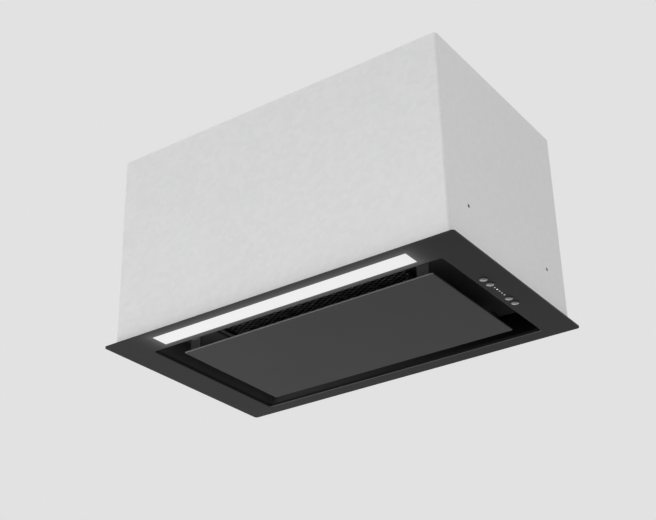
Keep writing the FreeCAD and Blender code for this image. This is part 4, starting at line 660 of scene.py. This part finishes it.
# ---- operators -----------------------------------------------------------------------------
class HOOD_OT_paint(bpy.types.Operator):
    """Give every node of the fixed model its finish"""
    bl_idname = "hood.paint"
    bl_label = "Finishes"

    def execute(self, context):
        paint = context.scene.hood_paint
        # trim: painted glow beside the light strip, a painted edge highlight and painted shade
        # inside the frame
        dress(["trim_frame"], powder_coat("trim_coat", paint.trim_tone, paint.paint_rough,
                                          glow=(8 * MM, 0.10), highlight_level=0.10, inner=0.055))
        # panel: painted highlight on its front edges
        dress(["suction_panel"], powder_coat("panel_coat", paint.panel_tone, paint.paint_rough,
                                             highlight_level=0.20, highlight_up_to=0.4))
        dress(["panel_back_plate"], powder_coat("back_plate_coat", 0.045, 0.6))
        # intake plate: painted glow from the light strip over it
        dress(["intake_plate"], powder_coat("intake_coat", 0.034, 0.6,
                                            glow=(24 * MM, 0.12)))
        dress(["housing_shell"], zinc_sheet("housing_zinc", paint.housing_tone))
        steel = plated_steel("zinc_plate")
        dress(["panel_hinge_leaves", "hinge_brackets", "hinge_pins", "panel_catch_tabs",
               "motor_shaft", "shaft_nut", "motor_bracket", "bush_screws", "flap_pin",
               "lid_screws", "capacitor_strap", "trim_screws", "collar_screws"], steel)
        # the clips are darker than the other plated steel, as painted shade under the trim's collar
        dress(["catch_clips"], plated_steel("clip_steel_in_shade", 0.2, 0.36))
        dress(["filter_frame"], plated_steel("filter_alloy", 0.30, 0.46, (1.0, 0.06, 1.0)))
        # the mesh layers are darker than the strands on them, as painted shade inside the filter
        # behind the panel
        dress(["filter_mesh"], plated_steel("mesh_layers_in_shade", 0.14, 0.5, (1.0, 0.3, 1.0)))
        dress(["light_channel", "run_capacitor"],
              plated_steel("trough_alloy", 0.66, 0.38, (0.04, 1.0, 1.0)))
        dress(["motor_can"], zinc_sheet("motor_casting", 0.42, 90.0, 0.06, 0.8, 0.55))
        dress(["scroll_half_left", "scroll_half_right", "inlet_ring_left", "inlet_ring_right",
               "outlet_adapter"], moulding("fan_case_plastic", 0.035, 0.52))
        dress(["outlet_collar", "flap_front", "flap_rear"], moulding("duct_plastic", 0.028, 0.46))
        dress(["fan_impeller"], moulding("impeller_plastic", 0.075, 0.42, 1600.0))
        dress(["filter_latch", "button_carrier"], moulding("latch_plastic", 0.03, 0.45))
        dress(["electronics_box", "electronics_lid"],
              moulding("box_plastic", 0.42, 0.5, 1100.0, (1.0, 1.0, 0.98)))
        dress(["terminal_block", "led_driver"], moulding("pale_plastic", 0.6, 0.45, 1400.0))
        dress(["cable_gland"], moulding("gland_plastic", 0.03, 0.42))
        dress(["motor_bushes"], rubber("bush_rubber"))
        dress(["power_board", "switch_board", "led_board"], coated_board("green_board"))
        dress(["light_diffuser"], opal_light("opal_strip", paint.light_level,
                                             LIGHT_WINDOW[1].x))
        centre_x = BUTTON_CENTRES[0].x
        dress(BUTTONS, turned_metal("button_metal", [c.y for c in BUTTON_CENTRES], centre_x))
        dress(["indicator_lens"], indicator_dots("dot_glow", dot_ys(), DOT_LIT))
        return {"FINISHED"}


class HOOD_OT_housing(bpy.types.Operator):
    """Add the laps and rivets of the housing's back and the roof's beads"""
    bl_idname = "hood.housing"
    bl_label = "Housing details"

    def execute(self, context):
        low, high = HOUSING_BOX
        zinc = zinc_sheet("lap_zinc", context.scene.hood_paint.housing_tone)
        heads = head_grower()
        laps, rivets = [], []
        for side in (-1, 1):
            middle = side * (high.x - LAP_INSET - LAP_W / 2)
            laps.append(((middle - LAP_W / 2, high.y, LAP_FOOT),
                         (middle + LAP_W / 2, high.y + LAP_T, high.z - LAP_INSET)))
            for i in range(LAP_RIVETS):
                z = LAP_FOOT + (high.z - LAP_FOOT) * (i + 0.5) / LAP_RIVETS
                rivets.append((middle, high.y + LAP_T, z))
        bars("corner_laps", laps, zinc, ROOT, "galvanised_housing")
        grow("lap_rivets", heads, rivets, plated_steel("rivet_steel", 0.62, 0.3), ROOT,
             "galvanised_housing", Size=(RIVET_R, RIVET_H, RIVET_R))
        beads = [((low.x + BEAD_END, y - BEAD_W / 2, high.z - BEAD_H),
                  (high.x - BEAD_END, y + BEAD_W / 2, high.z + BEAD_H))
                 for y in (low.y + BEAD_INSET, high.y - BEAD_INSET)]
        bars("roof_beads", beads, zinc, ROOT, "galvanised_housing", BEAD_H * 0.9)
        return {"FINISHED"}


class HOOD_OT_outlet(bpy.types.Operator):
    """Add the collar's gasket and fillet, the flaps' lips and the gland's ribs"""
    bl_idname = "hood.outlet"
    bl_label = "Outlet details"

    def execute(self, context):
        foam = rubber("gasket_foam", 0.018)
        plastic = moulding("collar_plastic", 0.028, 0.46)
        rings = ring_grower()
        mid, top = COLLAR_MID, HOUSING_BOX[1].z
        outer = (COLLAR_BOX[1].x - COLLAR_BOX[0].x) / 2
        grow("collar_gasket", rings, [(mid.x, mid.y, top + GASKET_R * GASKET_SQUASH)],
             foam, ROOT, "dark_moulding", Radius=outer, Bead=GASKET_R, Squash=GASKET_SQUASH)
        grow("collar_fillet", rings, [(mid.x, mid.y, top + COLLAR_FOOT)], plastic, ROOT,
             "dark_moulding", Radius=COLLAR_R, Bead=FILLET_R, Squash=1.0)
        for side, body in ((-1, "front_flap"), (1, "rear_flap")):
            lip = arc_lip(mid, side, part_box("flap_front")[1].z)
            piece(f"{body}_lip", lip, foam, body)
        low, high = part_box("cable_gland")
        centre = (low + high) / 2
        turns = [2 * math.pi * i / GLAND_RIBS for i in range(GLAND_RIBS)]
        places = [(centre.x + GLAND_R * math.cos(a), centre.y + GLAND_R * math.sin(a),
                   high.z - GLAND_RIB_L) for a in turns]
        grow("gland_ribs", head_grower(), places, moulding("rib_plastic", 0.03, 0.42), ROOT,
             "dark_moulding", Size=(GLAND_RIB_R, GLAND_RIB_R, GLAND_RIB_L * 0.8))
        return {"FINISHED"}


def arc_lip(mid, side, top):
    """Half-round lip along a flap's curved edge: a strip swept through most of a half turn."""
    work = bmesh.new()
    inner, outer = FLAP_R - LIP_W, FLAP_R
    start = math.radians(LIP_START)
    sections = []
    for i in range(LIP_STEPS + 1):
        turn = side * (start + (math.pi - 2 * start) * i / LIP_STEPS)
        c, s = math.cos(turn), math.sin(turn)
        sections.append([work.verts.new((mid.x + r * c, mid.y + r * s, z)) for r, z in
                         ((inner, top - LIP_H), (outer, top - LIP_H), (outer, top + LIP_H * 0.5),
                          ((inner + outer) / 2, top + LIP_H), (inner, top + LIP_H * 0.5))])
    for a, b in zip(sections, sections[1:]):
        for j in range(5):
            work.faces.new((a[j], a[(j + 1) % 5], b[(j + 1) % 5], b[j]))
    work.faces.new(sections[0])
    work.faces.new(sections[-1])
    return from_bmesh("flap_lip", work)


class HOOD_OT_intake(bpy.types.Operator):
    """Add the filter's fine mesh and its dark felt, also painted shade for the slot round it, and
    the screws and rivets seen with the panel open
    """
    bl_idname = "hood.intake"
    bl_label = "Intake details"

    def execute(self, context):
        low, high = FILTER_BOX
        mid = (low + high) / 2
        alloy = plated_steel("strand_alloy", 0.48, 0.42, (1.0, 0.3, 1.0))
        grow("filter_strands", mesh_grower(), [(mid.x, mid.y, low.z + STRAND_Z)], alloy, ROOT,
             "filter_aluminium", Width=high.x - low.x - 2 * (FILTER_RIM - STRAND_TUCK),
             Depth=high.y - low.y - 2 * (FILTER_RIM - STRAND_TUCK_Y),
             Long=CELL_LONG, Short=CELL_SHORT, Strand=STRAND, Lean=(STRAND_LEAN, 0.0, 0.0))
        # dark felt strip under the filter's rim: a seal, and also painted shade for the slot between
        # the filter and the plate
        bars("filter_seal_and_shade", frame_bars(low, high, SEAL_SHADE_W, low.z - SEAL_SHADE_T, low.z),
             rubber("seal_felt_and_slot_shade", 0.012), ROOT, "filter_aluminium", SEAL_SHADE_T * 0.4)
        heads, crosses = head_grower(), cross_grower()
        steel = plated_steel("head_steel", 0.5, 0.32)
        dark = rubber("recess_shadow", 0.006)
        screws = [(side * SCREW_X, y, COLLAR_TOP) for side in (-1, 1) for y in SCREW_YS]
        grow("intake_screws", heads, screws, steel, ROOT, "bright_steel",
             Size=(SCREW_R, SCREW_R, SCREW_H))
        grow("intake_screw_recesses", crosses, [(x, y, z - SCREW_H) for x, y, z in screws], dark,
             ROOT, "bright_steel", **SCREW_CROSS)
        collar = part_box("collar_screws")
        top = collar[1].z
        reach = (collar[1].x - collar[0].x) / 2 - HEAD_R
        mid_y = (collar[0].y + collar[1].y) / 2
        tops = [(sx * reach, mid_y + sy * reach, top) for sx in (-1, 1) for sy in (-1, 1)]
        grow("collar_screw_recesses", crosses, tops, dark, ROOT, "bright_steel", **HEAD_CROSS)
        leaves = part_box("panel_hinge_leaves")
        pan_top = leaves[0].z + LEAF_T
        rivets = [(side * (leaves[1].x - LEAF_W / 2), leaves[0].y + along, pan_top)
                  for side in (-1, 1) for along in LEAF_RIVET_YS]
        grow("hinge_rivets", heads, rivets, steel, "panel", "bright_steel", Size=LEAF_RIVET)
        return {"FINISHED"}


def frame_bars(low, high, width, z0, z1):
    """Four strips round a rectangle, the long ones running through."""
    return [((low.x, low.y, z0), (high.x, low.y + width, z1)),
            ((low.x, high.y - width, z0), (high.x, high.y, z1)),
            ((low.x, low.y + width, z0), (low.x + width, high.y - width, z1)),
            ((high.x - width, low.y + width, z0), (high.x, high.y - width, z1))]


class HOOD_OT_stage(bpy.types.Operator):
    """Set the camera, the pale floor and the soft lamps"""
    bl_idname = "hood.stage"
    bl_label = "Stage"

    def execute(self, context):
        view = context.scene.hood_view
        stage_world(context.scene, view.backdrop)
        stage_floor(view.floor_drop, view.backdrop)
        stage_lamps()
        stage_camera(context.scene, view)
        context.scene.view_settings.view_transform = "Standard"
        return {"FINISHED"}


def stage_world(scene, backdrop):
    """Even backdrop for the camera; the hood itself is lit by a sky that is darker below."""
    world = bpy.data.worlds.new("studio")
    scene.world = world
    world.use_nodes = True
    tree = world.node_tree
    base = tree.nodes["Background"]
    place = tree.nodes.new("ShaderNodeTexCoord")
    split = tree.nodes.new("ShaderNodeSeparateXYZ")
    tree.links.new(place.outputs["Generated"], split.inputs[0])
    x, y, z = (Socket(tree, out) for out in split.outputs)
    sky = z.smooth(-0.7, 0.2) * (y * 0.26 + 0.50) + x * -0.18 + 0.16
    tree.links.new(sky.output, base.inputs["Strength"])
    base.inputs["Color"].default_value = colour(1.0)
    seen = tree.nodes.new("ShaderNodeBackground")
    seen.inputs["Color"].default_value = colour(backdrop)
    path = tree.nodes.new("ShaderNodeLightPath")
    mix = tree.nodes.new("ShaderNodeMixShader")
    tree.links.new(path.outputs["Is Camera Ray"], mix.inputs[0])
    tree.links.new(base.outputs[0], mix.inputs[1])
    tree.links.new(seen.outputs[0], mix.inputs[2])
    tree.links.new(mix.outputs[0], tree.nodes["World Output"].inputs["Surface"])


def stage_floor(drop, backdrop):
    """Pale round floor well below the hood, on which its shadow falls."""
    work = bmesh.new()
    bmesh.ops.create_circle(work, cap_ends=True, radius=9.0, segments=96)
    bmesh.ops.translate(work, verts=work.verts, vec=(0, 0, -drop))
    mesh = from_bmesh("floor", work)
    finish = Finish("floor_paint")
    cloud = finish.noise(1.5, 3.0)
    shade = cloud * 0.02 + (backdrop + 0.12)
    grey = finish.node("ShaderNodeCombineColor", Red=shade, Green=shade, Blue=shade)
    finish.set(Base_Color=grey.outputs[0], Roughness=cloud * 0.1 + 0.8)
    floor = bpy.data.objects.new("floor", mesh)
    bpy.context.scene.collection.objects.link(floor)
    mesh.materials.append(finish.material)
    floor.visible_glossy = False


LAMPS = (
    # name, place, aim, size, watts
    ("key", (-1.1, -0.45, -0.65), (0, 0, 0.0), 0.9, 7.0),
    ("front", (-0.5, -2.2, 0.5), (0, 0, 0.12), 1.2, 9.0),
    ("fill", (1.7, -1.2, 0.5), (0, 0, 0.12), 1.6, 7.0),
    ("top", (0.2, 0.4, 2.0), (0, 0, 0.2), 1.6, 8.0),
    ("back", (-0.6, 2.0, 0.6), (0, 0, 0.1), 1.4, 5.0),
)


def stage_lamps():
    for name, place, aim, size, watts in LAMPS:
        lamp = bpy.data.lights.new(name, "AREA")
        lamp.shape = "DISK"
        lamp.size = size
        lamp.energy = watts
        holder = bpy.data.objects.new(name, lamp)
        holder.location = place
        line = Vector(aim) - Vector(place)
        holder.rotation_euler = line.to_track_quat("-Z", "Y").to_euler()
        bpy.context.scene.collection.objects.link(holder)


def stage_camera(scene, view):
    data = bpy.data.cameras.new("camera")
    data.lens = view.lens
    data.sensor_width = 36.0
    data.clip_start = 0.01
    camera = bpy.data.objects.new("camera", data)
    camera.location = (view.camera_x, view.camera_y, view.camera_z)
    turn = (Matrix.Rotation(view.azimuth, 4, "Z") @ Matrix.Rotation(math.pi / 2 + view.tilt, 4, "X")
            @ Matrix.Rotation(view.roll, 4, "Z"))
    camera.rotation_euler = turn.to_euler()
    scene.collection.objects.link(camera)
    scene.camera = camera


class HOOD_PT_panel(bpy.types.Panel):
    """Lists the hood's settings and steps"""
    bl_label = "Range Hood"
    bl_idname = "HOOD_PT_panel"
    bl_space_type = "VIEW_3D"
    bl_region_type = "UI"
    bl_category = "Range Hood"

    def draw(self, context):
        for settings in (context.scene.hood_paint, context.scene.hood_view):
            box = self.layout.box()
            for key in type(settings).__annotations__:
                box.prop(settings, key)
        for operator in OPERATORS:
            self.layout.operator(operator.bl_idname)


GROUPS = {"hood_paint": HoodPaint, "hood_view": HoodView}
OPERATORS = (HOOD_OT_paint, HOOD_OT_housing, HOOD_OT_outlet, HOOD_OT_intake, HOOD_OT_stage)


def register():
    for cls in (*GROUPS.values(), *OPERATORS, HOOD_PT_panel):
        bpy.utils.register_class(cls)
    for name, group in GROUPS.items():
        setattr(bpy.types.Scene, name, bpy.props.PointerProperty(type=group))


def unregister():
    for name in GROUPS:
        delattr(bpy.types.Scene, name)
    for cls in (HOOD_PT_panel, *reversed(OPERATORS), *reversed(GROUPS.values())):
        bpy.utils.unregister_class(cls)


def main():
    register()
    for operator in OPERATORS:
        group, step = operator.bl_idname.split(".")
        getattr(getattr(bpy.ops, group), step)()


if __name__ == "__main__":
    main()
